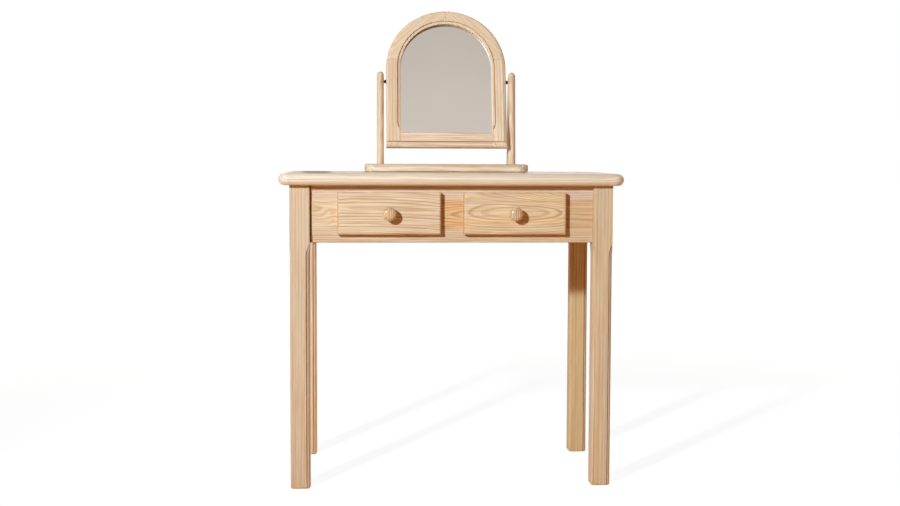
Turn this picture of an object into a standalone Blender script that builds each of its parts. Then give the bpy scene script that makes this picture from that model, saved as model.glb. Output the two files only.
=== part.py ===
"""Pine dressing table with two drawers and a swing mirror that stands on its top.

Metres, +Z up. The front faces -Y, and the floor is at z = 0. Sizes from front to back are
counted from the front faces of the legs, and the whole part hangs on one empty that centres it.
"""

import math

import bmesh
import bpy
from mathutils import Vector

# Fits
seat_gap = 0.0003
slide_clearance = 0.0015
cut_overrun = 0.004
weld_distance = 0.000002

# Table top
table_height = 0.760
top_length = 0.826
top_depth = 0.450
top_thickness = 0.029
top_corner_radius = 0.024
side_overhang = 0.025
front_overhang = 0.027
rear_overhang = 0.013

# Legs and the bead on their edges
leg_side = 0.0475
leg_foot_chamfer = 0.003
leg_bead_radius = 0.009
leg_bead_quirk = 0.0015
leg_bead_runout_radius = 0.048
leg_bead_stop_below_rail = 0.002

# Rails
rail_height = 0.137
rail_thickness = 0.020
rail_recess = 0.010
board_arris = 0.001

# Corner blocks
corner_block_reach = 0.038
corner_block_height = 0.060

# Drawers
drawer_side_margin = 0.066
drawer_centre_gap = 0.053
drawer_lower_border = 0.0197
drawer_upper_border = 0.0163
drawer_front_thickness = 0.018
drawer_front_round = 0.0045
drawer_front_corner_radius = 0.0015
drawer_side_overlap = 0.010
drawer_lower_overlap = 0.0135
drawer_upper_overlap = 0.018
drawer_top_clearance = 0.002
drawer_rear_clearance = 0.035
drawer_board_thickness = 0.012
drawer_bottom_thickness = 0.004
drawer_bottom_rise = 0.008
drawer_bottom_bite = 0.0055
drawer_bottom_play = 0.0003

# Drawer bearers and runners
bearer_height = 0.072
bearer_thickness = 0.018
runner_height = 0.010
runner_bite = 0.0055
runner_tip_clearance = 0.0007
runner_under_clearance = 0.0005

# Knobs
knob_diameter = 0.032
knob_reach = 0.030
spigot_diameter = 0.009
spigot_length = 0.014
spigot_clearance = 0.0003
spigot_end_clearance = 0.001

# Mirror stand
stand_setback = 0.225
stand_base_depth = 0.130
stand_base_thickness = 0.020
stand_base_end_reach = 0.0315
stand_base_corner_radius = 0.028
stand_base_round = 0.006
upright_thickness = 0.018
upright_foot_depth = 0.066
upright_head_radius = 0.014
upright_head_above_pivot = 0.012
upright_round = 0.005

# Mirror frame
frame_width = 0.311
frame_straight_height = 0.213
frame_member_width = 0.037
frame_thickness = 0.020
frame_bead_radius = 0.0075
frame_bead_quirk = 0.0015
frame_bead_runout_radius = 0.037
frame_bead_stop_above_rail = 0.005
frame_stile_above_spring = 0.0215
frame_pivot_rise = 0.176
frame_swing_clearance = 0.020
frame_tilt = math.radians(15)
rebate_width = 0.0075
rebate_depth = 0.009
glass_thickness = 0.003
glass_clearance = 0.0005
back_panel_thickness = 0.003

# Pivots
pivot_gap = 0.006
spacer_radius = 0.005
screw_radius = 0.0025
screw_bore_clearance = 0.0003
screw_bite = 0.022
screw_end_clearance = 0.001
screw_head_radius = 0.0045
screw_head_length = 0.0025

# Counts of facets
corner_steps = 6
nose_steps = 10
bead_steps = 5
runout_steps = 8
knob_steps = 32
arch_steps = 32
round_steps = 16

# Turned shape of a knob: its radius as a share of the head's, its distance out as a share of its reach
knob_profile_shares = (
    (0.60, 0.00),
    (0.62, 0.04),
    (0.56, 0.10),
    (0.45, 0.18),
    (0.41, 0.27),
    (0.44, 0.37),
    (0.58, 0.46),
    (0.80, 0.53),
    (0.94, 0.60),
    (1.00, 0.69),
    (0.97, 0.78),
    (0.86, 0.87),
    (0.68, 0.94),
    (0.42, 0.985),
    (0.18, 1.00),
)

# Places worked out from the sizes
frame_length = top_length - 2 * side_overhang
frame_depth = top_depth - front_overhang - rear_overhang
leg_height = table_height - top_thickness - seat_gap
rail_top = leg_height
rail_bottom = rail_top - rail_height
rail_length = frame_length - 2 * leg_side - 2 * seat_gap
side_rail_length = frame_depth - 2 * leg_side - 2 * seat_gap
front_rail_back = rail_recess + rail_thickness
rear_rail_front = frame_depth - rail_recess - rail_thickness

drawer_width = (frame_length - 2 * leg_side - 2 * drawer_side_margin - drawer_centre_gap) / 2
drawer_height = rail_height - drawer_lower_border - drawer_upper_border
drawer_centre_x = (drawer_width + drawer_centre_gap) / 2
drawer_bottom_z = rail_bottom + drawer_lower_border
drawer_face_y = rail_recess - seat_gap - drawer_front_thickness
opening_width = drawer_width - 2 * drawer_side_overlap
opening_bottom = drawer_bottom_z + drawer_lower_overlap
opening_top = drawer_bottom_z + drawer_height - drawer_upper_overlap
box_width = opening_width - 2 * slide_clearance
box_bottom = opening_bottom + slide_clearance
box_height = opening_top - drawer_top_clearance - box_bottom
box_front_y = rail_recess
drawer_box_length = rear_rail_front - drawer_rear_clearance - box_front_y
groove_depth = runner_bite + runner_tip_clearance
runner_z = box_bottom + box_height / 2

knob_radius = knob_diameter / 2
front_reach = drawer_face_y - seat_gap - knob_reach
rear_reach = frame_depth + rear_overhang
centre_y = (front_reach + rear_reach) / 2

stand_bottom = table_height + seat_gap
stand_top = stand_bottom + stand_base_thickness
stand_y = stand_setback + stand_base_depth / 2
arch_radius = frame_width / 2
frame_height = frame_straight_height + arch_radius
frame_top_reach = frame_height - frame_pivot_rise
pivot_z = stand_top + seat_gap + max(frame_top_reach, frame_pivot_rise) + frame_swing_clearance
upright_inner_x = frame_width / 2 + pivot_gap
stand_base_length = 2 * (upright_inner_x + upright_thickness + stand_base_end_reach)
frame_bottom = -frame_pivot_rise
spring_line = frame_bottom + frame_straight_height
half_thickness = frame_thickness / 2
sight_half_width = frame_width / 2 - frame_member_width
sight_bottom = frame_bottom + frame_member_width


def clear_scene():
    for item in list(bpy.data.objects):
        bpy.data.objects.remove(item)


def finish(name, colour, roughness, metallic=0.0):
    """A plain Principled material."""
    material = bpy.data.materials.new(name)
    material.use_nodes = True
    shader = material.node_tree.nodes["Principled BSDF"]
    shader.inputs["Base Color"].default_value = (*colour, 1.0)
    shader.inputs["Roughness"].default_value = roughness
    shader.inputs["Metallic"].default_value = metallic
    return material


def pine(name):
    return finish(name + "_pine", (0.78, 0.60, 0.40), 0.45)


def plywood(name):
    return finish(name + "_plywood", (0.70, 0.55, 0.38), 0.6)


def beech(name):
    return finish(name + "_beech", (0.68, 0.46, 0.28), 0.5)


def steel(name):
    return finish(name + "_steel", (0.60, 0.58, 0.55), 0.3, 1.0)


def dark_plastic(name):
    return finish(name + "_plastic", (0.09, 0.06, 0.045), 0.5)


def mirror_silver(name):
    return finish(name + "_silver", (0.85, 0.86, 0.86), 0.03, 1.0)


def hardboard(name):
    return finish(name + "_hardboard", (0.34, 0.22, 0.13), 0.75)


def empty(name, place, parent=None, turn=(0.0, 0.0, 0.0)):
    holder = bpy.data.objects.new(name, None)
    bpy.context.scene.collection.objects.link(holder)
    holder.parent = parent
    holder.location = place
    holder.rotation_euler = turn
    return holder


def mesh_of(name, shape):
    """Turns a bmesh into a mesh whose faces point outwards."""
    bmesh.ops.recalc_face_normals(shape, faces=shape.faces)
    mesh = bpy.data.meshes.new(name)
    shape.to_mesh(mesh)
    shape.free()
    return mesh


def place_mesh(name, mesh, material, parent, place):
    thing = bpy.data.objects.new(name, mesh)
    bpy.context.scene.collection.objects.link(thing)
    if not mesh.materials:
        mesh.materials.append(material)
    thing.parent = parent
    thing.location = place
    return thing


def smooth(mesh, angle=math.radians(32)):
    mesh.shade_smooth()
    mesh.set_sharp_from_angle(angle=angle)


def combined(mesh, cutter_mesh, operation="DIFFERENCE"):
    """The mesh after an exact Boolean with a second mesh in the same frame."""
    body = bpy.data.objects.new("body", mesh)
    cutter = bpy.data.objects.new("cutter", cutter_mesh)
    for thing in (body, cutter):
        bpy.context.scene.collection.objects.link(thing)
    cutter.hide_render = True
    cutter.display_type = "WIRE"
    modifier = body.modifiers.new("cut", "BOOLEAN")
    modifier.operation = operation
    modifier.solver = "EXACT"
    modifier.object = cutter
    graph = bpy.context.evaluated_depsgraph_get()
    result = bpy.data.meshes.new_from_object(body.evaluated_get(graph))
    bpy.data.objects.remove(body)
    bpy.data.objects.remove(cutter)
    shape = bmesh.new()
    shape.from_mesh(result)
    bmesh.ops.remove_doubles(shape, verts=shape.verts, dist=weld_distance)
    shape.to_mesh(result)
    shape.free()
    return result


def loft(shape, rings):
    """Joins rings of points that have the same count, and closes both ends."""
    layers = [[shape.verts.new(point) for point in ring] for ring in rings]
    count = len(layers[0])
    for lower, upper in zip(layers, layers[1:]):
        for i in range(count):
            j = (i + 1) % count
            shape.faces.new((lower[i], lower[j], upper[j], upper[i]))
    shape.faces.new(layers[0][::-1])
    shape.faces.new(layers[-1])
    return shape


def closed_loft(shape, rings):
    """Joins rings of points into a closed loop, with no ends."""
    layers = [[shape.verts.new(point) for point in ring] for ring in rings]
    count = len(layers[0])
    for lower, upper in zip(layers, layers[1:] + layers[:1]):
        for i in range(count):
            j = (i + 1) % count
            shape.faces.new((lower[i], lower[j], upper[j], upper[i]))
    return shape


def box(size, centre=(0.0, 0.0, 0.0), arris=0.0, skip=()):
    """A board with chamfered edges. skip names end faces, such as "-x", whose edges stay square."""
    shape = bmesh.new()
    bmesh.ops.create_cube(shape, size=1)
    bmesh.ops.scale(shape, vec=Vector(size), verts=shape.verts)
    if arris:
        eased = [edge for edge in shape.edges if not on_skipped_face(edge, size, skip)]
        bmesh.ops.bevel(shape, geom=eased, offset=arris, segments=1, affect="EDGES")
    bmesh.ops.translate(shape, vec=Vector(centre), verts=shape.verts)
    return shape


def on_skipped_face(edge, size, skip):
    for face in skip:
        axis = "xyz".index(face[1])
        side = 1 if face[0] == "+" else -1
        if all(vert.co[axis] * side > size[axis] / 4 for vert in edge.verts):
            return True
    return False


def prism(outline, length, axis):
    """Extrudes an outline along an axis, from zero to the length. The outline's two values are the other axes in order."""
    shape = bmesh.new()
    rings = []
    for reach in (0.0, length):
        ring = [list(point) for point in outline]
        for point in ring:
            point.insert("xyz".index(axis), reach)
        rings.append([Vector(point) for point in ring])
    return loft(shape, rings)


def arc(centre, radius, start, end, steps):
    """Points on an arc from the start angle to the end angle, both included."""
    angles = [start + (end - start) * i / steps for i in range(steps + 1)]
    return [(centre[0] + radius * math.cos(a), centre[1] + radius * math.sin(a)) for a in angles]


def rounded_rectangle(length, depth, radius):
    """An outline of corner arcs, anticlockwise from the right-hand side."""
    points = []
    for turn, (sx, sy) in enumerate(((1, 1), (-1, 1), (-1, -1), (1, -1))):
        centre = (sx * (length / 2 - radius), sy * (depth / 2 - radius))
        start = turn * math.pi / 2
        points += arc(centre, radius, start, start + math.pi / 2, corner_steps)
    return points


def slab(length, depth, corner_radius, layers):
    """A board with rounded corners. Each layer is an inset from the outline and a height."""
    shape = bmesh.new()
    rings = []
    for inset, height in layers:
        outline = rounded_rectangle(length - 2 * inset, depth - 2 * inset, corner_radius - inset)
        rings.append([Vector((x, y, height)) for x, y in outline])
    return loft(shape, rings)


def turned(profile, steps):
    """A solid of revolution about +X. Each point of the profile is a radius and a distance along X."""
    shape = bmesh.new()
    rings = []
    for radius, reach in profile:
        angles = [2 * math.pi * i / steps for i in range(steps)]
        rings.append([Vector((reach, radius * math.cos(a), radius * math.sin(a))) for a in angles])
    return loft(shape, rings)


def mirrored_x(shape):
    for vert in shape.verts:
        vert.co.x = -vert.co.x
    return shape


def bead_section(radius, quirk):
    """What a bead's cutter takes: points inward from the side face and inward from the quirked face."""
    section = [(-cut_overrun, -cut_overrun), (radius, -cut_overrun)]
    section += arc((radius, quirk + radius), radius, -math.pi / 2, -math.pi, bead_steps)
    section.append((-cut_overrun, quirk + radius))
    return section


def runout(radius, depth):
    """How a cutter of this radius leaves the work: travel along the edge and distance drawn off."""
    last = math.acos(1 - depth / radius)
    angles = [last * i / runout_steps for i in range(1, runout_steps + 1)]
    return [(radius * math.sin(a), radius * (1 - math.cos(a))) for a in angles]


def make_top(table):
    nose = top_thickness / 2
    layers = []
    for i in range(nose_steps + 1):
        angle = -math.pi / 2 + math.pi * i / nose_steps
        layers.append((nose * (1 - math.cos(angle)), nose * math.sin(angle)))
    shape = slab(top_length, top_depth, top_corner_radius, layers)
    mesh = mesh_of("table_top", shape)
    smooth(mesh)
    middle_y = top_depth / 2 - front_overhang
    place_mesh("table_top", mesh, pine("table_top"), table, (0.0, middle_y, table_height - nose))


def leg_mesh():
    """A square leg whose four long edges carry an ovolo, run out by a large cutter below the rails."""
    shape = bmesh.new()
    bmesh.ops.create_cube(shape, size=1)
    bmesh.ops.scale(shape, vec=Vector((leg_side, leg_side, leg_height)), verts=shape.verts)
    bmesh.ops.translate(shape, vec=Vector((0.0, 0.0, leg_height / 2)), verts=shape.verts)
    foot = [edge for edge in shape.edges if all(vert.co.z < leg_height / 2 for vert in edge.verts)]
    bmesh.ops.bevel(shape, geom=foot, offset=leg_foot_chamfer, segments=1, affect="EDGES")
    mesh = mesh_of("leg", shape)

    leaving = runout(leg_bead_runout_radius, leg_bead_radius + leg_bead_quirk)
    bead_top = rail_bottom - leg_bead_stop_below_rail - leaving[-1][0]
    path = [(-cut_overrun, 0.0), (bead_top, 0.0)]
    path += [(bead_top + travel, drawn) for travel, drawn in leaving]
    section = bead_section(leg_bead_radius, leg_bead_quirk)
    cutters = bmesh.new()
    for sx in (-1, 1):
        for sy in (-1, 1):
            rings = []
            for height, drawn in path:
                ring = []
                for u, v in section:
                    x = sx * (leg_side / 2 - u + drawn)
                    y = sy * (leg_side / 2 - v)
                    ring.append(Vector((x, y, height)))
                rings.append(ring)
            loft(cutters, rings)
    return combined(mesh, mesh_of("leg_bead", cutters))


def make_legs(table):
    mesh = leg_mesh()
    smooth(mesh)
    reach_x = frame_length / 2 - leg_side / 2
    for side, x in (("left", -reach_x), ("right", reach_x)):
        for end, y in (("front", leg_side / 2), ("rear", frame_depth - leg_side / 2)):
            name = f"leg_{end}_{side}"
            place_mesh(name, mesh.copy(), pine(name), table, (x, y, 0.0))


def make_rails(table):
    middle_y = rail_recess + rail_thickness / 2
    middle_z = (rail_bottom + rail_top) / 2
    rear = mesh_of("rear_rail", box((rail_length, rail_thickness, rail_height), arris=board_arris, skip=("-x", "+x")))
    place_mesh("rear_rail", rear, pine("rear_rail"), table, (0.0, frame_depth - middle_y, middle_z))
    reach_x = frame_length / 2 - rail_recess - rail_thickness / 2
    for side, x in (("left", -reach_x), ("right", reach_x)):
        name = f"side_rail_{side}"
        shape = box((rail_thickness, side_rail_length, rail_height), arris=board_arris, skip=("-y", "+y"))
        place_mesh(name, mesh_of(name, shape), pine(name), table, (x, frame_depth / 2, middle_z))


def make_front_rail(table):
    """The front rail is glued up: a long strip above the drawers, one below, and three blocks between."""
    half_strip = rail_length / 2
    outer_edge = drawer_centre_x + opening_width / 2
    inner_edge = drawer_centre_x - opening_width / 2
    block_low = opening_bottom + seat_gap / 2
    block_high = opening_top - seat_gap / 2
    pieces = {
        "front_rail_top": (-half_strip, half_strip, opening_top + seat_gap / 2, rail_top),
        "front_rail_bottom": (-half_strip, half_strip, rail_bottom, opening_bottom - seat_gap / 2),
        "front_block_left": (-half_strip, -outer_edge, block_low, block_high),
        "front_block_centre": (-inner_edge, inner_edge, block_low, block_high),
        "front_block_right": (outer_edge, half_strip, block_low, block_high),
    }
    for name, (x_low, x_high, z_low, z_high) in pieces.items():
        mesh = mesh_of(name, box((x_high - x_low, rail_thickness, z_high - z_low)))
        place = ((x_low + x_high) / 2, rail_recess + rail_thickness / 2, (z_low + z_high) / 2)
        place_mesh(name, mesh, pine(name), table, place)


def make_corner_blocks(table):
    """A block behind each leg, notched over the leg's inner corner and fast to both rails."""
    step = leg_side - rail_recess - rail_thickness
    notch = step + seat_gap
    reach = notch + corner_block_reach
    rail_face = rail_recess + rail_thickness + seat_gap
    for side, sx in (("left", -1), ("right", 1)):
        for end, sy in (("front", 1), ("rear", -1)):
            outline = [(0.0, notch), (0.0, reach), (reach, 0.0), (notch, 0.0), (notch, notch)]
            outline = [(-sx * x, sy * y) for x, y in outline]
            name = f"corner_block_{end}_{side}"
            mesh = mesh_of(name, prism(outline, corner_block_height, "z"))
            x = sx * (frame_length / 2 - rail_face)
            y = rail_face if sy > 0 else frame_depth - rail_face
            z = rail_top - corner_block_height
            place_mesh(name, mesh, pine(name), table, (x, y, z))


def make_runners(table):
    """Beside each drawer box a bearer runs from rail to rail, and carries a strip that the box rides on."""
    start = front_rail_back + seat_gap
    length = rear_rail_front - seat_gap - start
    for drawer, sx in (("left", -1), ("right", 1)):
        for side, face in (("left", -1), ("right", 1)):
            inner = sx * drawer_centre_x + face * opening_width / 2
            middle_y = start + length / 2
            name = f"bearer_{drawer}_drawer_{side}"
            shape = box((bearer_thickness, length, bearer_height), arris=board_arris, skip=("-y", "+y"))
            place = (inner + face * bearer_thickness / 2, middle_y, runner_z)
            place_mesh(name, mesh_of(name, shape), pine(name), table, place)
            name = f"runner_{drawer}_drawer_{side}"
            reach = slide_clearance + runner_bite - seat_gap
            shape = box((reach, length, runner_height), arris=0.0)
            place = (inner - face * (seat_gap + reach / 2), middle_y, runner_z)
            place_mesh(name, mesh_of(name, shape), beech(name), table, place)


def drawer_side_outline(inward):
    """Section of a drawer side: a runner groove outside and a bottom groove inside. inward is 1 or -1."""
    thick = drawer_board_thickness
    runner_low = runner_z - box_bottom - runner_height / 2 - runner_under_clearance
    runner_high = runner_z - box_bottom + runner_height / 2 + seat_gap
    groove_low = drawer_bottom_rise - drawer_bottom_play
    groove_high = drawer_bottom_rise + drawer_bottom_thickness + drawer_bottom_play
    bite = drawer_bottom_bite + drawer_bottom_play
    points = [
        (0.0, 0.0),
        (thick, 0.0),
        (thick, groove_low),
        (thick - bite, groove_low),
        (thick - bite, groove_high),
        (thick, groove_high),
        (thick, box_height),
        (0.0, box_height),
        (0.0, runner_high),
        (groove_depth, runner_high),
        (groove_depth, runner_low),
        (0.0, runner_low),
    ]
    return [(inward * x, z) for x, z in points]


def box_front_outline():
    """Section of the box front: a groove for the bottom in its inner face."""
    thick = drawer_board_thickness
    groove_low = drawer_bottom_rise - drawer_bottom_play
    groove_high = drawer_bottom_rise + drawer_bottom_thickness + drawer_bottom_play
    bite = drawer_bottom_bite + drawer_bottom_play
    return [
        (0.0, 0.0),
        (thick, 0.0),
        (thick, groove_low),
        (thick - bite, groove_low),
        (thick - bite, groove_high),
        (thick, groove_high),
        (thick, box_height),
        (0.0, box_height),
    ]


def drawer_front_mesh():
    """An overlay front with rounded face edges and a blind bore for the knob's spigot."""
    flat = drawer_front_thickness - drawer_front_round
    corner_radius = drawer_front_corner_radius + drawer_front_round
    layers = [(0.0, 0.0), (0.0, flat)]
    for i in range(1, bead_steps + 1):
        angle = math.pi / 2 * i / bead_steps
        inset = drawer_front_round * (1 - math.cos(angle))
        layers.append((inset, flat + drawer_front_round * math.sin(angle)))
    shape = slab(drawer_width, drawer_height, corner_radius, layers)
    for vert in shape.verts:
        vert.co = Vector((vert.co.x, -vert.co.z, vert.co.y))
    mesh = mesh_of("drawer_front", shape)
    radius = spigot_diameter / 2 + spigot_clearance
    depth = spigot_length + spigot_end_clearance
    bore = turned([(radius, -cut_overrun), (radius, depth)], round_steps)
    for vert in bore.verts:
        vert.co = Vector((vert.co.y, vert.co.x - drawer_front_thickness, vert.co.z))
    return combined(mesh, mesh_of("knob_bore", bore))


def knob_mesh():
    """A turned knob with a spigot behind it, its foot at the origin and its head towards -Y."""
    radius = spigot_diameter / 2
    profile = [(radius, -spigot_length), (radius, 0.0)]
    for radius_share, reach_share in knob_profile_shares:
        profile.append((knob_radius * radius_share, knob_reach * reach_share))
    shape = turned(profile, knob_steps)
    for vert in shape.verts:
        vert.co = Vector((vert.co.y, -vert.co.x, vert.co.z))
    return mesh_of("knob", shape)


def make_drawer(side, centre_x, table):
    """One drawer on its own empty, which lies on the line that the drawer slides along."""
    drawer = empty(f"drawer_{side}", (centre_x, box_front_y, runner_z), table)
    low = box_bottom - runner_z
    inner_width = box_width - 2 * drawer_board_thickness
    front_z = drawer_bottom_z + drawer_height / 2 - runner_z

    name = f"drawer_{side}_front"
    mesh = drawer_front_mesh()
    smooth(mesh)
    place_mesh(name, mesh, pine(name), drawer, (0.0, -seat_gap, front_z))

    name = f"drawer_{side}_knob"
    mesh = knob_mesh()
    smooth(mesh)
    knob_y = drawer_face_y - seat_gap - box_front_y
    place_mesh(name, mesh, pine(name), drawer, (0.0, knob_y, front_z))

    name = f"drawer_{side}_box_front"
    width = inner_width - 2 * seat_gap
    mesh = mesh_of(name, prism([(y, z) for y, z in box_front_outline()], width, "x"))
    place_mesh(name, mesh, pine(name), drawer, (-width / 2, 0.0, low))

    for hand, face in (("left", -1), ("right", 1)):
        name = f"drawer_{side}_side_{hand}"
        mesh = mesh_of(name, prism(drawer_side_outline(-face), drawer_box_length, "y"))
        place_mesh(name, mesh, pine(name), drawer, (face * box_width / 2, 0.0, low))

    name = f"drawer_{side}_back"
    back_low = drawer_bottom_rise + drawer_bottom_thickness + seat_gap
    back_height = box_height - back_low
    shape = box((width, drawer_board_thickness, back_height), arris=0.0)
    back_y = drawer_box_length - drawer_board_thickness / 2
    place_mesh(name, mesh_of(name, shape), pine(name), drawer, (0.0, back_y, low + back_low + back_height / 2))

    name = f"drawer_{side}_bottom"
    front_y = drawer_board_thickness - drawer_bottom_bite
    panel_length = drawer_box_length - front_y
    shape = box((inner_width + 2 * drawer_bottom_bite, panel_length, drawer_bottom_thickness))
    place = (0.0, front_y + panel_length / 2, low + drawer_bottom_rise + drawer_bottom_thickness / 2)
    place_mesh(name, mesh_of(name, shape), plywood(name), drawer, place)


def make_stand(table):
    """The mirror's base board and its two tapered uprights."""
    flat = stand_base_thickness - stand_base_round
    layers = [(0.0, 0.0), (0.0, flat)]
    for i in range(1, bead_steps + 1):
        angle = math.pi / 2 * i / bead_steps
        inset = stand_base_round * (1 - math.cos(angle))
        layers.append((inset, flat + stand_base_round * math.sin(angle)))
    mesh = mesh_of("mirror_base", slab(stand_base_length, stand_base_depth, stand_base_corner_radius, layers))
    smooth(mesh)
    place_mesh("mirror_base", mesh, pine("mirror_base"), table, (0.0, stand_y, stand_bottom))

    for side, face in (("left", -1), ("right", 1)):
        name = f"mirror_upright_{side}"
        mesh = upright_mesh(face)
        smooth(mesh)
        place = (face * upright_inner_x, stand_y, pivot_z)
        place_mesh(name, mesh, pine(name), table, place)


def upright_outline(inset):
    """The tapered outline, anticlockwise from its front foot, drawn in by the inset everywhere but under the foot."""
    foot_z = stand_top + seat_gap - pivot_z
    half_foot = upright_foot_depth / 2 - inset
    radius = upright_head_radius - inset
    to_foot = Vector((half_foot, foot_z - upright_head_above_pivot))
    start = math.atan2(to_foot.y, to_foot.x) + math.acos(radius / to_foot.length)
    head = arc((0.0, upright_head_above_pivot), radius, start, math.pi - start, nose_steps)
    return [(half_foot, foot_z), *head, (-half_foot, foot_z)]


def upright_mesh(face):
    """An upright with its inner face at x = 0 and the pivot at the origin. face is its outward side."""
    rounding = []
    for i in range(bead_steps + 1):
        angle = math.pi / 2 * i / bead_steps
        rounding.append((upright_round * (1 - math.sin(angle)), upright_round * (1 - math.cos(angle))))
    layers = rounding + [(inset, upright_thickness - reach) for inset, reach in rounding[::-1]]
    rings = []
    for inset, reach in layers:
        rings.append([Vector((face * reach, y, z)) for y, z in upright_outline(inset)])
    mesh = mesh_of("upright", loft(bmesh.new(), rings))
    radius = screw_radius + screw_bore_clearance
    head = screw_head_radius + screw_bore_clearance
    profile = [
        (radius, -cut_overrun),
        (radius, upright_thickness - seat_gap - screw_head_length),
        (head, upright_thickness - seat_gap),
        (head, upright_thickness + cut_overrun),
    ]
    bore = turned([(r, face * x) for r, x in profile], round_steps)
    return combined(mesh, mesh_of("pivot_bore", bore))


def arch_outline(half_width, bottom):
    """Outline of the frame or its opening, anticlockwise from the lower right corner: x and height."""
    points = [(half_width, bottom)]
    points += arc((0.0, spring_line), half_width, 0.0, math.pi, arch_steps)
    points.append((-half_width, bottom))
    return points


def plate(outline, back, front):
    """A plate between two distances behind the frame's middle. Its outline lies in X and Z."""
    shape = bmesh.new()
    rings = [[Vector((x, y, z)) for x, z in outline] for y in (front, back)]
    return loft(shape, rings)


def mitred(points, closed):
    """For each point of a path, the direction to its right, lengthened so that offset sides stay parallel."""
    count = len(points)
    turned_out = []
    for i, point in enumerate(points):
        before = points[i - 1] if closed or i else None
        after = points[(i + 1) % count] if closed or i < count - 1 else None
        sides = []
        for first, second in ((before, point), (point, after)):
            if first is None or second is None:
                continue
            along = (Vector(second) - Vector(first)).normalized()
            sides.append(Vector((along.y, -along.x)))
        middle = sum(sides, Vector((0.0, 0.0))).normalized()
        turned_out.append(middle / middle.dot(sides[0]))
    return turned_out


def outer_bead_cutter():
    """The cutter's sweep round the whole outside of the frame's face, mitred at the lower corners."""
    path = arch_outline(frame_width / 2, frame_bottom)
    section = bead_section(frame_bead_radius, frame_bead_quirk)
    rings = []
    for point, outward in zip(path, mitred(path, True)):
        ring = []
        for u, v in section:
            x, z = Vector(point) - outward * u
            ring.append(Vector((x, v - half_thickness, z)))
        rings.append(ring)
    return closed_loft(bmesh.new(), rings)


def inner_bead_cutter():
    """The cutter's sweep up one stile, round the arch and down the other, drawn off before the rail."""
    leaving = runout(frame_bead_runout_radius, frame_bead_radius + frame_bead_quirk)
    low = sight_bottom + frame_bead_stop_above_rail
    stop = low + leaving[-1][0]
    path = [(sight_half_width, stop)]
    path += arc((0.0, spring_line), sight_half_width, 0.0, math.pi, arch_steps)
    path.append((-sight_half_width, stop))
    outward = mitred(path, False)
    right_end = [(Vector((sight_half_width - drawn, stop - travel)), outward[0]) for travel, drawn in leaving]
    left_end = [(Vector((drawn - sight_half_width, stop - travel)), outward[-1]) for travel, drawn in leaving]
    stations = right_end[::-1] + [(Vector(p), o) for p, o in zip(path, outward)] + left_end
    section = bead_section(frame_bead_radius, frame_bead_quirk)
    rings = []
    for point, out in stations:
        ring = []
        for u, v in section:
            x, z = point + out * u
            ring.append(Vector((x, v - half_thickness, z)))
        rings.append(ring)
    return loft(bmesh.new(), rings)


def moulded_frame_mesh():
    """The glued-up frame before it is parted: ring, beads, glass rebate and pivot bores."""
    ring = mesh_of("frame", plate(arch_outline(frame_width / 2, frame_bottom), half_thickness, -half_thickness))
    through = half_thickness + cut_overrun
    opening = plate(arch_outline(sight_half_width, sight_bottom), through, -through)
    ring = combined(ring, mesh_of("opening", opening))
    ring = combined(ring, mesh_of("outer_bead", outer_bead_cutter()))
    ring = combined(ring, mesh_of("inner_bead", inner_bead_cutter()))
    outline = arch_outline(sight_half_width + rebate_width, sight_bottom - rebate_width)
    ring = combined(ring, mesh_of("rebate", plate(outline, through, half_thickness - rebate_depth)))
    radius = screw_radius + screw_bore_clearance
    depth = screw_bite + screw_end_clearance
    for face in (-1, 1):
        profile = [(radius, frame_width / 2 - depth), (radius, frame_width / 2 + cut_overrun)]
        bore = turned([(r, face * x) for r, x in profile], round_steps)
        ring = combined(ring, mesh_of("pivot_bore", bore))
    return ring


def make_mirror(table):
    """The frame's five pieces, its glass and back, and the pivots, on an empty at the tilting axis."""
    mirror = empty("mirror_tilt", (0.0, stand_y, pivot_z), table, (-frame_tilt, 0.0, 0.0))
    ring = moulded_frame_mesh()
    joint = seat_gap / 2
    split = spring_line + frame_stile_above_spring
    top = frame_top_reach + cut_overrun
    low = frame_bottom - cut_overrun
    side = frame_width / 2 + cut_overrun
    regions = {
        "mirror_frame_arch_left": (-side, -joint, split + joint, top),
        "mirror_frame_arch_right": (joint, side, split + joint, top),
        "mirror_frame_stile_left": (-side, -sight_half_width - joint, low, split - joint),
        "mirror_frame_stile_right": (sight_half_width + joint, side, low, split - joint),
        "mirror_frame_bottom_rail": (-sight_half_width + joint, sight_half_width - joint, low, spring_line),
    }
    for name, (x_low, x_high, z_low, z_high) in regions.items():
        size = (x_high - x_low, frame_thickness + 2 * cut_overrun, z_high - z_low)
        centre = ((x_low + x_high) / 2, 0.0, (z_low + z_high) / 2)
        mesh = combined(ring.copy(), mesh_of("region", box(size, centre)), "INTERSECT")
        smooth(mesh)
        place_mesh(name, mesh, pine(name), mirror, (0.0, 0.0, 0.0))

    half_width = sight_half_width + rebate_width - glass_clearance
    outline = arch_outline(half_width, sight_bottom - rebate_width + glass_clearance)
    front = half_thickness - rebate_depth + seat_gap
    back = front + glass_thickness
    mesh = mesh_of("mirror_glass", plate(outline, back, front))
    place_mesh("mirror_glass", mesh, mirror_silver("mirror_glass"), mirror, (0.0, 0.0, 0.0))
    front = back + seat_gap
    mesh = mesh_of("mirror_back_panel", plate(outline, front + back_panel_thickness, front))
    place_mesh("mirror_back_panel", mesh, hardboard("mirror_back_panel"), mirror, (0.0, 0.0, 0.0))

    for hand, face in (("left", -1), ("right", 1)):
        make_pivot(hand, face, mirror)


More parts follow.
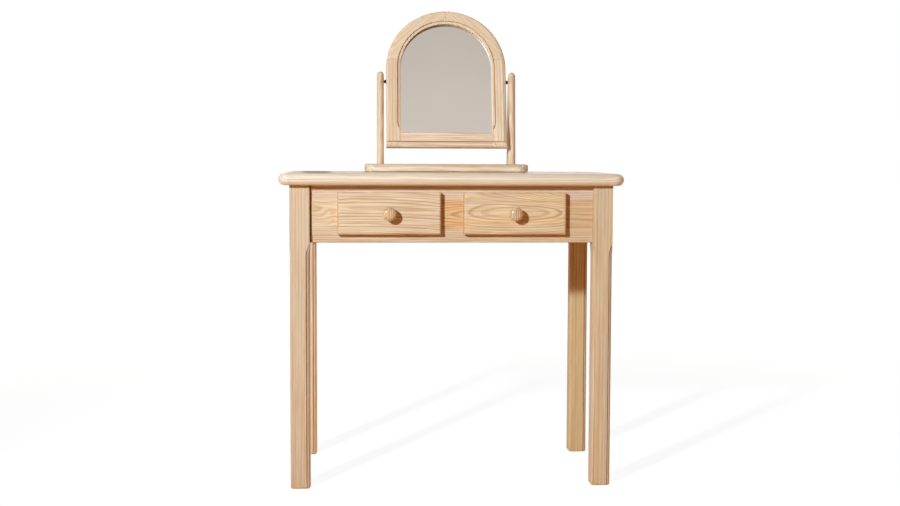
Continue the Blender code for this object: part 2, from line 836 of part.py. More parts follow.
def make_pivot(hand, face, mirror):
    """A countersunk screw through the upright and its spacer into the stile."""
    outer = upright_inner_x + upright_thickness - seat_gap
    profile = [
        (screw_radius, frame_width / 2 - screw_bite),
        (screw_radius, outer - screw_head_length),
        (screw_head_radius, outer),
    ]
    name = f"pivot_screw_{hand}"
    mesh = mesh_of(name, turned([(r, face * x) for r, x in profile], round_steps))
    smooth(mesh)
    place_mesh(name, mesh, steel(name), mirror, (0.0, 0.0, 0.0))

    inner = frame_width / 2 + seat_gap
    reach = pivot_gap - 2 * seat_gap
    tube = turned([(spacer_radius, face * inner), (spacer_radius, face * (inner + reach))], round_steps)
    radius = screw_radius + screw_bore_clearance
    hole = turned([(radius, face * (inner - cut_overrun)), (radius, face * (inner + reach + cut_overrun))], round_steps)
    name = f"pivot_spacer_{hand}"
    mesh = combined(mesh_of(name, tube), mesh_of("hole", hole))
    smooth(mesh)
    place_mesh(name, mesh, dark_plastic(name), mirror, (0.0, 0.0, 0.0))


clear_scene()
dressing_table = empty("dressing_table", (0.0, -centre_y, 0.0))
make_top(dressing_table)
make_legs(dressing_table)
make_front_rail(dressing_table)
make_rails(dressing_table)
make_corner_blocks(dressing_table)
make_runners(dressing_table)
make_drawer("left", -drawer_centre_x, dressing_table)
make_drawer("right", drawer_centre_x, dressing_table)
make_stand(dressing_table)
make_mirror(dressing_table)
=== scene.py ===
"""Pine dressing table with two drawers and a swing mirror, dressed over its CAD frame.

Metres, +Z up, front faces -Y. The pieces are numpy surfaces in world places; their wood is
grown by shaders from Object coordinates.
"""

import math

import bpy
import numpy as np
from mathutils import Matrix, Vector


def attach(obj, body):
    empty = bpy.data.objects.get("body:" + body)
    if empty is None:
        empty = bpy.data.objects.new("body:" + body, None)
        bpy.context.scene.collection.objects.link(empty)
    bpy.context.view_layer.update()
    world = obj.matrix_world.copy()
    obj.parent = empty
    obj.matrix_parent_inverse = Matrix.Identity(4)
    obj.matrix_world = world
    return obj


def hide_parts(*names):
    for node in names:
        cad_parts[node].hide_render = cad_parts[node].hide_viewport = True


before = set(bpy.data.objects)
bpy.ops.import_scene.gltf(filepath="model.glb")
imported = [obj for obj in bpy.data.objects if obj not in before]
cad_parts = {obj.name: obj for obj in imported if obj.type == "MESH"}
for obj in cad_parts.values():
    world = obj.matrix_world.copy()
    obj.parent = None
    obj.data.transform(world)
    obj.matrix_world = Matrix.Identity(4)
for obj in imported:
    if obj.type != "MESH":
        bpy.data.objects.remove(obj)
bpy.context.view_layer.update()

# Sizes that the CAD source has too; y is counted from the front faces of the legs
SEAT_GAP = 0.0003
BORE_CLEARANCE = 0.0003
CUT_OVERRUN = 0.004
TABLE_HEIGHT = 0.760
TOP_LENGTH = 0.826
TOP_DEPTH = 0.450
TOP_THICKNESS = 0.029
TOP_CORNER = 0.024
SIDE_OVERHANG = 0.025
FRONT_OVERHANG = 0.027
REAR_OVERHANG = 0.013
LEG_SIDE = 0.0475
LEG_FOOT_CHAMFER = 0.003
LEG_BEAD = 0.009
LEG_RUNOUT = 0.048
LEG_STOP = 0.002
QUIRK = 0.0015
RAIL_HEIGHT = 0.137
RAIL_THICKNESS = 0.020
RAIL_RECESS = 0.010
DRAWER_SIDE_MARGIN = 0.066
DRAWER_GAP = 0.053
DRAWER_LOWER_BORDER = 0.0197
DRAWER_UPPER_BORDER = 0.0163
FRONT_THICKNESS = 0.018
FRONT_CORNER = 0.0015
DRAWER_SIDE_OVERLAP = 0.010
DRAWER_LOWER_OVERLAP = 0.0135
DRAWER_UPPER_OVERLAP = 0.018
KNOB_REACH = 0.030
SPIGOT_RADIUS = 0.0045
SPIGOT_LENGTH = 0.014
STAND_SETBACK = 0.225
BASE_DEPTH = 0.130
BASE_THICKNESS = 0.020
BASE_END_REACH = 0.0315
BASE_CORNER = 0.028
BASE_ROUND = 0.006
UPRIGHT_THICKNESS = 0.018
UPRIGHT_FOOT = 0.066
UPRIGHT_HEAD = 0.014
UPRIGHT_HEAD_RISE = 0.012
FRAME_WIDTH = 0.311
FRAME_STRAIGHT = 0.213
MEMBER = 0.037
FRAME_THICKNESS = 0.020
FRAME_RUNOUT = 0.037
FRAME_STOP = 0.005
STILE_ABOVE_SPRING = 0.0215
PIVOT_RISE = 0.176
SWING_CLEARANCE = 0.020
TILT = math.radians(15)
REBATE_WIDTH = 0.0075
REBATE_DEPTH = 0.009
PIVOT_GAP = 0.006
SPACER_RADIUS = 0.005
SCREW_RADIUS = 0.0025
SCREW_HEAD = 0.0045
SCREW_HEAD_LENGTH = 0.0025
SCREW_BITE = 0.022

# Sizes of the finer forms, where the dressed pieces differ from the CAD ones
SHARP_ANGLE = math.radians(28)
LEG_FIRST_ROW = 0.02
BOARD_ARRIS = 0.0002
RAIL_LOW_ARRIS = 0.0030
RAIL_JOINT = 0.0026
RAIL_JOINT_DEPTH = 0.012
FRONT_ROUND = 0.0065
KNOB_RADIUS = 0.0168
POLE_RADIUS = 0.0004
BASE_REBATE = 0.0018
BASE_REBATE_DEPTH = 0.004
UPRIGHT_ROUND = 0.0072
UPRIGHT_POWER = 1.55
SCREW_TIP = 0.0008
SCREW_POINT = 0.003
SCREW_EDGE = 0.0003
SCREW_RECESS = 0.0014
SCREW_RECESS_DEPTH = 0.0013
SPACER_EASE = 0.0006
SPACER_EASE_LENGTH = 0.0008
COLLAR_SHARE = 0.62
SPACER_STEP = 0.0009
SPACER_NECK = 0.0017
SPACER_NECK_STEP = 0.0002
BRAD_RADIUS = 0.0005
BRAD_HEAD = 1.3 * BRAD_RADIUS
BRAD_REACH = 0.0075
BRAD_BITE = 0.004
BRAD_LOW_MARGIN = 0.03
BRAD_HIGH_MARGIN = 0.02
BRAD_TURNS = (38, 74, 106, 142)
# Painted shade on the arch's inner wall: how it fades across and up the frame, and its share where the
# wall begins
REBATE_SHADE_FADE = 0.20
REBATE_SHADE_RISE = 0.03
REBATE_SHADE_START = 0.9

# Beads: the width, the quirk, the round's depth, the groove's width and how far the groove is sunk
FRAME_INNER_BEAD = 0.0088
LEG_RIGHT_BEAD = (LEG_BEAD, QUIRK, 0.008, 0.0022, 0.0032)
LEG_LEFT_BEAD = (LEG_BEAD, QUIRK, 0.008, 0.0022, 0.0006)
OUTER_BEAD = (0.0078, QUIRK, 0.0078, 0.0003, 0.0)
INNER_BEAD = (FRAME_INNER_BEAD, 0.0004, 0.0014, 0.0030, 0.0042)
LOW_BEAD = (0.0145, 0.0022, 0.0078, 0.0028, 0.0046)
LEAST_BEAD = 1e-5
SLOPE_SHARE = 0.2
STEP_SHARE = 0.35
DRAWN_OFF = 9.0

# Places worked out from the sizes
FRAME_LENGTH = TOP_LENGTH - 2 * SIDE_OVERHANG
DEPTH = TOP_DEPTH - FRONT_OVERHANG - REAR_OVERHANG
RAIL_TOP = TABLE_HEIGHT - TOP_THICKNESS - SEAT_GAP
RAIL_BOTTOM = RAIL_TOP - RAIL_HEIGHT
RAIL_LENGTH = FRAME_LENGTH - 2 * LEG_SIDE - 2 * SEAT_GAP
DRAWER_WIDTH = (FRAME_LENGTH - 2 * LEG_SIDE - 2 * DRAWER_SIDE_MARGIN - DRAWER_GAP) / 2
DRAWER_HEIGHT = RAIL_HEIGHT - DRAWER_LOWER_BORDER - DRAWER_UPPER_BORDER
DRAWER_X = (DRAWER_WIDTH + DRAWER_GAP) / 2
DRAWER_LOW = RAIL_BOTTOM + DRAWER_LOWER_BORDER
FACE_Y = RAIL_RECESS - SEAT_GAP - FRONT_THICKNESS
OPENING_WIDTH = DRAWER_WIDTH - 2 * DRAWER_SIDE_OVERLAP
OPENING_LOW = DRAWER_LOW + DRAWER_LOWER_OVERLAP
OPENING_HIGH = DRAWER_LOW + DRAWER_HEIGHT - DRAWER_UPPER_OVERLAP
Y0 = -(FACE_Y - SEAT_GAP - KNOB_REACH + DEPTH + REAR_OVERHANG) / 2
STAND_LOW = TABLE_HEIGHT + SEAT_GAP
STAND_TOP = STAND_LOW + BASE_THICKNESS
STAND_Y = STAND_SETBACK + BASE_DEPTH / 2
ARCH_RADIUS = FRAME_WIDTH / 2
PIVOT_Z = STAND_TOP + SEAT_GAP + FRAME_STRAIGHT + ARCH_RADIUS - PIVOT_RISE + SWING_CLEARANCE
UPRIGHT_X = FRAME_WIDTH / 2 + PIVOT_GAP
BASE_LENGTH = 2 * (UPRIGHT_X + UPRIGHT_THICKNESS + BASE_END_REACH)
FRAME_LOW = -PIVOT_RISE
SPRING = FRAME_LOW + FRAME_STRAIGHT
SPLIT = SPRING + STILE_ABOVE_SPRING
HALF = FRAME_THICKNESS / 2
SIGHT_X = FRAME_WIDTH / 2 - MEMBER
SIGHT_LOW = FRAME_LOW + MEMBER
PIVOT = np.array([0.0, STAND_Y + Y0, PIVOT_Z])
TILT_MATRIX = np.array(Matrix.Rotation(-TILT, 3, "X"))


def linear(red, green, blue):
    """Scene-linear colour of an sRGB one in 0 to 255."""
    out = []
    for value in (red, green, blue):
        c = value / 255
        out.append(c / 12.92 if c <= 0.04045 else ((c + 0.055) / 1.055) ** 2.4)
    return (*out, 1.0)


# Surfaces


def linked(name, data):
    """A new object that stands in the scene."""
    obj = bpy.data.objects.new(name, data)
    bpy.context.scene.collection.objects.link(obj)
    return obj


def corner_volume(a, b, c):
    """Six times the volume between triangles and the origin: the sum of their corners' determinants."""
    return np.einsum("ij,ij->i", a, np.cross(b, c)).sum()


def shade(mesh):
    """Smooth shading, broken at edges that turn by more than the sharp angle."""
    mesh.polygons.foreach_set("use_smooth", np.ones(len(mesh.polygons), bool))
    mesh.set_sharp_from_angle(angle=SHARP_ANGLE)


def solid(name, rings, wrap=False):
    """A closed body from a grid of points: row i is a closed ring, and quads join ring i to ring i + 1.
    The first and last ring are closed by flat caps, or joined to each other where wrap is set. Faces are
    turned so that the enclosed volume is positive."""
    rings = np.asarray(rings, float)
    rows, cols = rings.shape[:2]
    index = np.arange(rows * cols).reshape(rows, cols)
    low = index if wrap else index[:-1]
    high = np.roll(index, -1, 0) if wrap else index[1:]
    quads = np.stack([low, np.roll(low, -1, 1), np.roll(high, -1, 1), high], -1).reshape(-1, 4)
    points = rings.reshape(-1, 3)
    p = points[quads]
    volume = corner_volume(p[:, 0], p[:, 1], p[:, 2]) + corner_volume(p[:, 0], p[:, 2], p[:, 3])
    caps = [] if wrap else [index[0][::-1], index[-1]]
    for cap in caps:
        c = points[cap]
        volume += corner_volume(np.broadcast_to(c[0], c[1:-1].shape), c[1:-1], c[2:])
    faces = quads.tolist() + [cap.tolist() for cap in caps]
    if volume < 0:
        faces = [face[::-1] for face in faces]
    mesh = bpy.data.meshes.new(name)
    mesh.from_pydata(points.tolist(), [], faces)
    mesh.validate()
    shade(mesh)
    return linked(name, mesh)


def outline(length, depth, radius, steps):
    """A rectangle with corner arcs, anticlockwise: each arc turns a quarter from where the last ended."""
    turn = np.arange(4)[:, None]
    angle = turn * np.pi / 2 + np.linspace(0, np.pi / 2, steps + 1)[None, :]
    sx = np.array([1, -1, -1, 1])[:, None]
    sy = np.array([1, 1, -1, -1])[:, None]
    x = sx * (length / 2 - radius) + radius * np.cos(angle)
    y = sy * (depth / 2 - radius) + radius * np.sin(angle)
    return np.stack([x.ravel(), y.ravel()], -1)


def slab_rings(length, depth, corner, layers, steps, mitred=False):
    """Rings of a board: for each layer the outline drawn in by its inset, at its height. The corners'
    arcs shrink with the inset, or stay as they are where the edge's rounding is mitred."""
    rings = []
    for inset, height in layers:
        radius = corner if mitred else corner - inset
        flat = outline(length - 2 * inset, depth - 2 * inset, radius, steps)
        rings.append(np.column_stack([flat, np.full(len(flat), height)]))
    return np.array(rings)


def rounded(radius, height):
    """Insets and heights of a board's edge: a quarter round that ends at this height."""
    arc = np.linspace(0, np.pi / 2, 11)
    return list(zip(radius * (1 - np.cos(arc)), height - radius + radius * np.sin(arc)))


def turned_rings(profile, steps, face=1):
    """Rings of a turning about X: at each point of the profile a circle of its radius at its distance
    along +X, or along -X where face is -1."""
    angle = np.linspace(0, 2 * np.pi, steps, endpoint=False)
    radius, reach = np.asarray(profile, float).T
    x = np.repeat(face * reach[:, None], steps, 1)
    return np.stack([x, radius[:, None] * np.cos(angle), radius[:, None] * np.sin(angle)], -1)


def smooth_curve(points, per_span):
    """A Catmull-Rom curve through the points: each span is the cubic whose end slopes are half the chord
    between the neighbours."""
    p = np.asarray(points, float)
    p = np.vstack([2 * p[0] - p[1], p, 2 * p[-1] - p[-2]])
    t = np.linspace(0, 1, per_span, endpoint=False)[None, :, None]
    a, b, c, d = (p[i : len(p) - 3 + i][:, None, :] for i in range(4))
    square = 2 * a - 5 * b + 4 * c - d
    cube = 3 * b - a - 3 * c + d
    spans = 0.5 * (2 * b + (c - a) * t + square * t**2 + cube * t**3)
    return np.vstack([spans.reshape(-1, p.shape[1]), p[-2]])


def bead_profile(width, quirk, round_depth, groove, sunk, drawn=0.0, count=12):
    """Distances from the edge and depths of a quirked bead that a cutter has drawn off by some distance:
    an elliptic quarter round from the side face, a sunk groove beside it and the wall up to the flat,
    where the depth is 0. With radius = width - groove, the round's depth at the distance u is
    quirk + round_depth (1 - sqrt(1 - ((radius - u) / radius)^2))."""
    radius = width - groove
    foot = max(radius - drawn, LEAST_BEAD)
    wall = max(width - drawn, 2 * LEAST_BEAD)
    u = foot * (1 - np.cos(np.linspace(0, np.pi / 2, count)))
    inside = np.clip((radius - (u + drawn)) / radius, 0, 1)
    deep = quirk + round_depth * (1 - np.sqrt(1 - inside**2))
    low = quirk + sunk if drawn < width else 0.0
    if drawn >= radius:
        deep = np.full(count, low)
    slope = (wall - foot) * SLOPE_SHARE
    u = np.concatenate([u, [foot + slope, wall - slope, wall, wall]])
    deep = np.concatenate([deep, [low, low, STEP_SHARE * low, 0.0]])
    return u, deep


def runout_drawn(travel, radius, depth):
    """How far a cutter of this radius has drawn off after some travel: its circle's sagitta."""
    last = math.acos(1 - depth / radius)
    travel = np.clip(travel, 0, radius * math.sin(last))
    return radius - np.sqrt(radius**2 - travel**2)


def leg_section(drawn):
    """The leg's outline at one height: at each corner the bead from the side face to the quirk's wall,
    which moves towards the corner by how far the cutter is drawn off, and then the square front or back
    face. The grooves on the left are shallower."""
    half = LEG_SIDE / 2
    profiles = {1: bead_profile(*LEG_RIGHT_BEAD, drawn), -1: bead_profile(*LEG_LEFT_BEAD, drawn)}
    parts = []
    for sx, sy, order in ((1, 1, 1), (-1, 1, -1), (-1, -1, 1), (1, -1, -1)):
        u, v = profiles[sx]
        part = np.column_stack([sx * (half - u), sy * (half - v)])
        parts.append(part[::order])
    return np.vstack(parts)


def leg_rings():
    """Sections of the leg up its height: the foot's chamfer clamps them to a smaller square."""
    depth = LEG_BEAD + QUIRK
    last = LEG_RUNOUT * math.sin(math.acos(1 - depth / LEG_RUNOUT))
    bead_top = RAIL_BOTTOM - LEG_STOP - last
    stations = [(0.0, LEG_FOOT_CHAMFER), (LEG_FOOT_CHAMFER, 0.0)]
    heights = [*np.linspace(LEG_FIRST_ROW, bead_top, 12), *np.linspace(bead_top, bead_top + last, 21)[1:]]
    stations += [(z, 0.0) for z in heights + [RAIL_TOP]]
    rings = []
    for z, inset in stations:
        section = leg_section(float(runout_drawn(z - bead_top, LEG_RUNOUT, depth)))
        limit = LEG_SIDE / 2 - inset
        section = np.clip(section, -limit, limit)
        rings.append(np.column_stack([section, np.full(len(section), z)]))
    return np.array(rings)


def upright_outline(inset, steps=28):
    """The upright's outline in y and z about the pivot: two straight sides that meet a round head."""
    foot_z = STAND_TOP + SEAT_GAP - PIVOT_Z
    half = UPRIGHT_FOOT / 2 - inset
    radius = UPRIGHT_HEAD - inset
    reach_z = foot_z - UPRIGHT_HEAD_RISE
    start = math.atan2(reach_z, half) + math.acos(radius / math.hypot(half, reach_z))
    angle = np.linspace(start, np.pi - start, steps + 1)
    head = np.column_stack([radius * np.cos(angle), UPRIGHT_HEAD_RISE + radius * np.sin(angle)])
    return np.vstack([[half, foot_z], head, [-half, foot_z]])


def member_section(drawn, edge=0.0, rebate=True, outer=OUTER_BEAD):
    """A frame member's closed section from its outer edge: the outer bead, the flat, the inner bead as
    far as its cutter isn't drawn off, then the back with the glass rebate. edge is the depth that a bead
    along the member's end cuts there; the deeper cut wins."""
    outer_u, outer_v = bead_profile(*outer)
    inner_u, inner_v = bead_profile(*INNER_BEAD, drawn)
    flat = outer[0] + np.array([0.25, 0.5, 0.75]) * (MEMBER - outer[0] - FRAME_INNER_BEAD)
    u = np.concatenate([outer_u, flat, MEMBER - inner_u[::-1]])
    deep = np.maximum(np.concatenate([outer_v, np.zeros(3), inner_v[::-1]]), edge)
    depth = HALF - (REBATE_DEPTH if rebate else 0.0)
    back_u = np.array([MEMBER, MEMBER - REBATE_WIDTH, MEMBER - REBATE_WIDTH, MEMBER / 2, 0.0])
    back_y = np.array([depth, depth, HALF, HALF, HALF])
    return np.concatenate([u, back_u]), np.concatenate([deep - HALF, back_y])


def tilted(points):
    """Points of the mirror's own frame turned about the pivots' axis and put in their place."""
    return np.asarray(points) @ TILT_MATRIX.T + PIVOT


def stile_rings(face):
    """Rows up a stile: the bottom edge's bead, the inner bead's run-out and, above the spring line, the
    circle of each column's own radius."""
    depth = FRAME_INNER_BEAD + QUIRK
    last = FRAME_RUNOUT * math.sin(math.acos(1 - depth / FRAME_RUNOUT))
    stop = SIGHT_LOW + FRAME_STOP + last
    rebate_low = SIGHT_LOW - REBATE_WIDTH
    edge_u, edge_v = bead_profile(*LOW_BEAD)
    rows = [(FRAME_LOW + u, v, False) for u, v in zip(edge_u, edge_v)]
    rows += [(rebate_low, 0.0, False), (rebate_low, 0.0, True)]
    heights = [*np.linspace(SIGHT_LOW + FRAME_STOP, stop, 17), *np.linspace(stop, SPRING, 12)[1:]]
    heights += [*np.linspace(SPRING, SPLIT - SEAT_GAP / 2, 9)[1:]]
    rows += [(z, 0.0, True) for z in heights]
    rings = []
    for z, edge, rebate in rows:
        drawn = float(runout_drawn(stop - z, FRAME_RUNOUT, depth)) if z < stop else 0.0
        u, y = member_section(drawn, edge, rebate)
        radius = ARCH_RADIUS - u
        x = radius if z <= SPRING else np.sqrt(radius**2 - (z - SPRING) ** 2)
        x = np.where((u >= MEMBER - 1e-9) & (z <= SIGHT_LOW), x + SEAT_GAP / 2, x)
        rings.append(np.column_stack([face * x, y, np.full(len(u), z)]))
    return tilted(rings)


def arch_rings(face, rows=96):
    """Rows round half the arch, from the cut across the stile to the joint at the top: each column is a
    circle about the spring line's middle, and its angles run between the two cuts."""
    u, y = member_section(0.0)
    radius = ARCH_RADIUS - u
    first = np.arcsin((SPLIT + SEAT_GAP / 2 - SPRING) / radius)
    end = np.arccos(SEAT_GAP / 2 / radius)
    share = np.linspace(0, 1, rows)[:, None]
    angle = first + (end - first) * share
    x = face * radius * np.cos(angle)
    z = SPRING + radius * np.sin(angle)
    return tilted(np.stack([x, np.broadcast_to(y, x.shape), z], -1))


def paint_rebate_shade(obj, grid):
    """Paints shade on the arch's inner wall by an attribute: 0 on the bead, nearly 1 where the wall begins
    and 1 from the wall's back on, times a fade that falls from left to right and towards the stiles, as
    the left part of the wall faces away from the key light."""
    local = (grid - PIVOT) @ TILT_MATRIX
    to_right = np.clip(0.5 - local[..., 0] / REBATE_SHADE_FADE, 0, 1)
    fade = to_right * np.clip((local[..., 2] - SPLIT) / REBATE_SHADE_RISE, 0, 1)
    painted_shade = np.zeros(grid.shape[:2])
    lip = grid.shape[1] - 5
    painted_shade[:, lip : lip + 2] = fade[:, lip : lip + 2]
    painted_shade[:, lip - 2 : lip] = REBATE_SHADE_START * fade[:, lip - 2 : lip]
    obj.data.attributes.new("painted_rebate_shade", "FLOAT", "POINT").data.foreach_set("value", painted_shade.ravel())


def rail_rings():
    """The mirror's bottom rail: one section with the outer bead below and the rebate above, along x."""
    u, y = member_section(DRAWN_OFF, outer=LOW_BEAD)
    half = SIGHT_X - SEAT_GAP / 2
    places = np.linspace(-half, half, 9)
    return tilted([np.column_stack([np.full(len(u), x), y, FRAME_LOW + u]) for x in places])


def at_world(points, x=0.0, y=0.0, z=0.0):
    """Points moved from the table's own places, whose y starts at the legs' front, to the world's."""
    return np.asarray(points) + np.array([x, y + Y0, z])


# Shaders


class Net:
    """Short names for the nodes of one material, or of the world."""

    def __init__(self, name, owner=None):
        self.material = owner or bpy.data.materials.new(name)
        self.material.use_nodes = True
        self.nodes = self.material.node_tree.nodes
        self.links = self.material.node_tree.links
        self.shader = self.nodes.get("Principled BSDF")

    def put(self, socket, value):
        if isinstance(value, bpy.types.NodeSocket):
            self.links.new(value, socket)
        else:
            socket.default_value = value

    def math(self, operation, *values, clamp=False):
        node = self.nodes.new("ShaderNodeMath")
        node.operation = operation
        node.use_clamp = clamp
        for socket, value in zip(node.inputs, values):
            self.put(socket, value)
        return node.outputs[0]

    def add(self, a, b):
        return self.math("ADD", a, b)

    def less(self, a, b):
        return self.math("SUBTRACT", a, b)

    def mul(self, a, b):
        return self.math("MULTIPLY", a, b)

    def distance(self, a, b):
        """The square root of the sum of both squares."""
        return self.math("SQRT", self.add(self.mul(a, a), self.mul(b, b)))

    def vector(self, *axes):
        node = self.nodes.new("ShaderNodeCombineXYZ")
        for socket, value in zip(node.inputs, axes):
            self.put(socket, value)
        return node.outputs[0]

    def cells(self, place, counts, shifts=(0, 0, 0)):
        """The place in cells to a metre along each axis, moved by the shifts."""
        axes = []
        for axis, count, shift in zip(place, counts, shifts):
            axis = self.mul(axis, count)
            axes.append(self.add(axis, shift) if shift else axis)
        return self.vector(*axes)

    def noise(self, vector, scale=1.0, detail=2.0, roughness=0.5):
        node = self.nodes.new("ShaderNodeTexNoise")
        self.put(node.inputs["Vector"], vector)
        node.inputs["Scale"].default_value = scale
        node.inputs["Detail"].default_value = detail
        node.inputs["Roughness"].default_value = roughness
        return node.outputs["Fac"]

    def chance(self, number):
        """A random value of its own for each number."""
        node = self.nodes.new("ShaderNodeTexWhiteNoise")
        node.noise_dimensions = "1D"
        self.put(node.inputs["W"], number)
        return node.outputs["Value"]

    def ramp(self, value, stops):
        """A grey that runs through the stops' greys at their places."""
        node = self.nodes.new("ShaderNodeValToRGB")
        elements = node.color_ramp.elements
        while len(elements) < len(stops):
            elements.new(0.5)
        for element, (place, grey) in zip(elements, stops):
            element.position = place
            element.color = (grey, grey, grey, 1.0)
        self.put(node.inputs["Fac"], value)
        return node.outputs["Color"]

    def span(self, value, low, high, out_low=0.0, out_high=1.0, smooth=False):
        node = self.nodes.new("ShaderNodeMapRange")
        node.interpolation_type = "SMOOTHSTEP" if smooth else "LINEAR"
        for socket, number in zip(node.inputs, (value, low, high, out_low, out_high)):
            self.put(socket, number)
        return node.outputs[0]

    def mix(self, factor, a, b):
        node = self.nodes.new("ShaderNodeMix")
        node.data_type = "RGBA"
        self.put(node.inputs["Factor"], factor)
        self.put(node.inputs["A"], a)
        self.put(node.inputs["B"], b)
        return node.outputs["Result"]

    def board(self, origin, grain, depth):
        """Object coordinates in a board's own frame: along the grain, into the board and across it."""
        along = Vector(grain).normalized()
        into = Vector(depth).normalized()
        across = along.cross(into)
        turn = Matrix((along, into, across)).transposed().to_euler("XYZ")
        place = self.nodes.new("ShaderNodeTexCoord")
        node = self.nodes.new("ShaderNodeMapping")
        node.vector_type = "TEXTURE"
        node.inputs["Location"].default_value = origin
        node.inputs["Rotation"].default_value = turn
        self.links.new(place.outputs["Object"], node.inputs["Vector"])
        apart = self.nodes.new("ShaderNodeSeparateXYZ")
        self.links.new(node.outputs[0], apart.inputs[0])
        return apart.outputs

    def bump(self, height, strength, distance):
        node = self.nodes.new("ShaderNodeBump")
        node.inputs["Strength"].default_value = strength
        node.inputs["Distance"].default_value = distance
        self.put(node.inputs["Height"], height)
        self.links.new(node.outputs[0], self.shader.inputs["Normal"])

    def set(self, **values):
        for name, value in values.items():
            self.put(self.shader.inputs[name.replace("_", " ")], value)
        return self.material


def tones(**colours):
    """Scene-linear colours of named sRGB ones in 0 to 255."""
    return {name: linear(*colour) for name, colour in colours.items()}


def dimmed(tone, share):
    """A colour whose three parts are multiplied by the share."""
    return (*(share * c for c in tone[:3]), 1.0)


X, Y, Z = (1, 0, 0), (0, 1, 0), (0, 0, 1)
ORIGIN = (0, 0, 0)
SIDES = (("left", -1), ("right", 1))
BLACK = (0, 0, 0, 1)
WHITE = (1, 1, 1, 1)

CREAM = linear(245, 223, 195)
ROSE = linear(237, 208, 182)
STRAW = linear(239, 210, 168)
LATE = linear(188, 144, 100)
KNOT = linear(226, 170, 104)
KNOT_HEART = linear(234, 190, 132)
# Colour of the painted shade on the arch's inner wall
REBATE_SHADE = linear(96, 60, 30)

# Noise of the pine: cells to a metre along the grain, inwards and across, then detail and roughness
FIELDS = {
    "low": (3.0, 14, 14, 2.0, 0.5),
    "mid": (16.0, 24, 30, 1.0, 0.5),
    "patch": (7.0, 40, 40, 2.0, 0.5),
    "broad": (2.2, 30, 30, 2.0, 0.5),
    "streak": (4.0, 170, 170, 3.0, 0.6),
    "thread": (9.0, 230, 230, 1.0, 0.5),
    "fleck": (26.0, 520, 520, 2.0, 0.6),
    "fibre": (40.0, 1900, 1900, 2.0, 0.6),
}
SEED_ACROSS = 0.37

# Each span of the pine: the noise values it runs between, and what it gives there if not 0 and 1
PATCH_SPAN = (0.3, 0.65, 0.65, 1.0)
TONE_SPAN = (0.38, 0.62)
THREAD_SPAN = (0.42, 0.68)
FLECK_SPAN = (0.3, 0.7, 0.2, 0.0)
FIBRE_SPAN = (0.25, 0.8, 0.12, 0.0)
HEART_SPAN = (-0.2, 0.2)
ROUGH_SPAN = (-0.2, 0.5, 0.40, 0.58)

# Rings: how noise bends them, and how strong the late wood is from a ring's start to its end
LOW_BEND = 4
MID_BEND = 1.6
SLOW_RINGS = 0.55
SLOW_ALONG = 0.8
LATE_STOPS = ((0.0, 0.9), (0.1, 0.1), (0.2, 0.0), (0.45, 0.0), (0.62, 0.25), (0.8, 0.85), (1.0, 1.0))
LEAST_LATE = 0.45
THREAD_SHARE = 0.5

# Knots: shares of the distance along the grain and of their colour; the rest in their own size
KNOT_ALONG = 0.45
KNOT_SHARE = 0.8
KNOT_RAGGED = 0.35
KNOT_SPREAD = 2.2
KNOT_PUSH = 1.3
KNOT_EDGE = 1.1
KNOT_CORE = 0.35

# Staves: how far each one's log is moved at most, across as a share of its width, else in metres
STAVE_ACROSS = 0.4
STAVE_ALONG = 7.3
STAVE_INTO = 0.03

# End grain, bump and gloss
END_GRAIN = 0.005
END_FULL = 0.2
END_SHARE = 0.62
BUMP_LATE = 0.6
BUMP_FIBRE = 0.5
BUMP = (0.25, 0.0002)
ROUGH_FIBRE = 0.5
ROUGH_LATE = -0.3
SPECULAR = 0.15


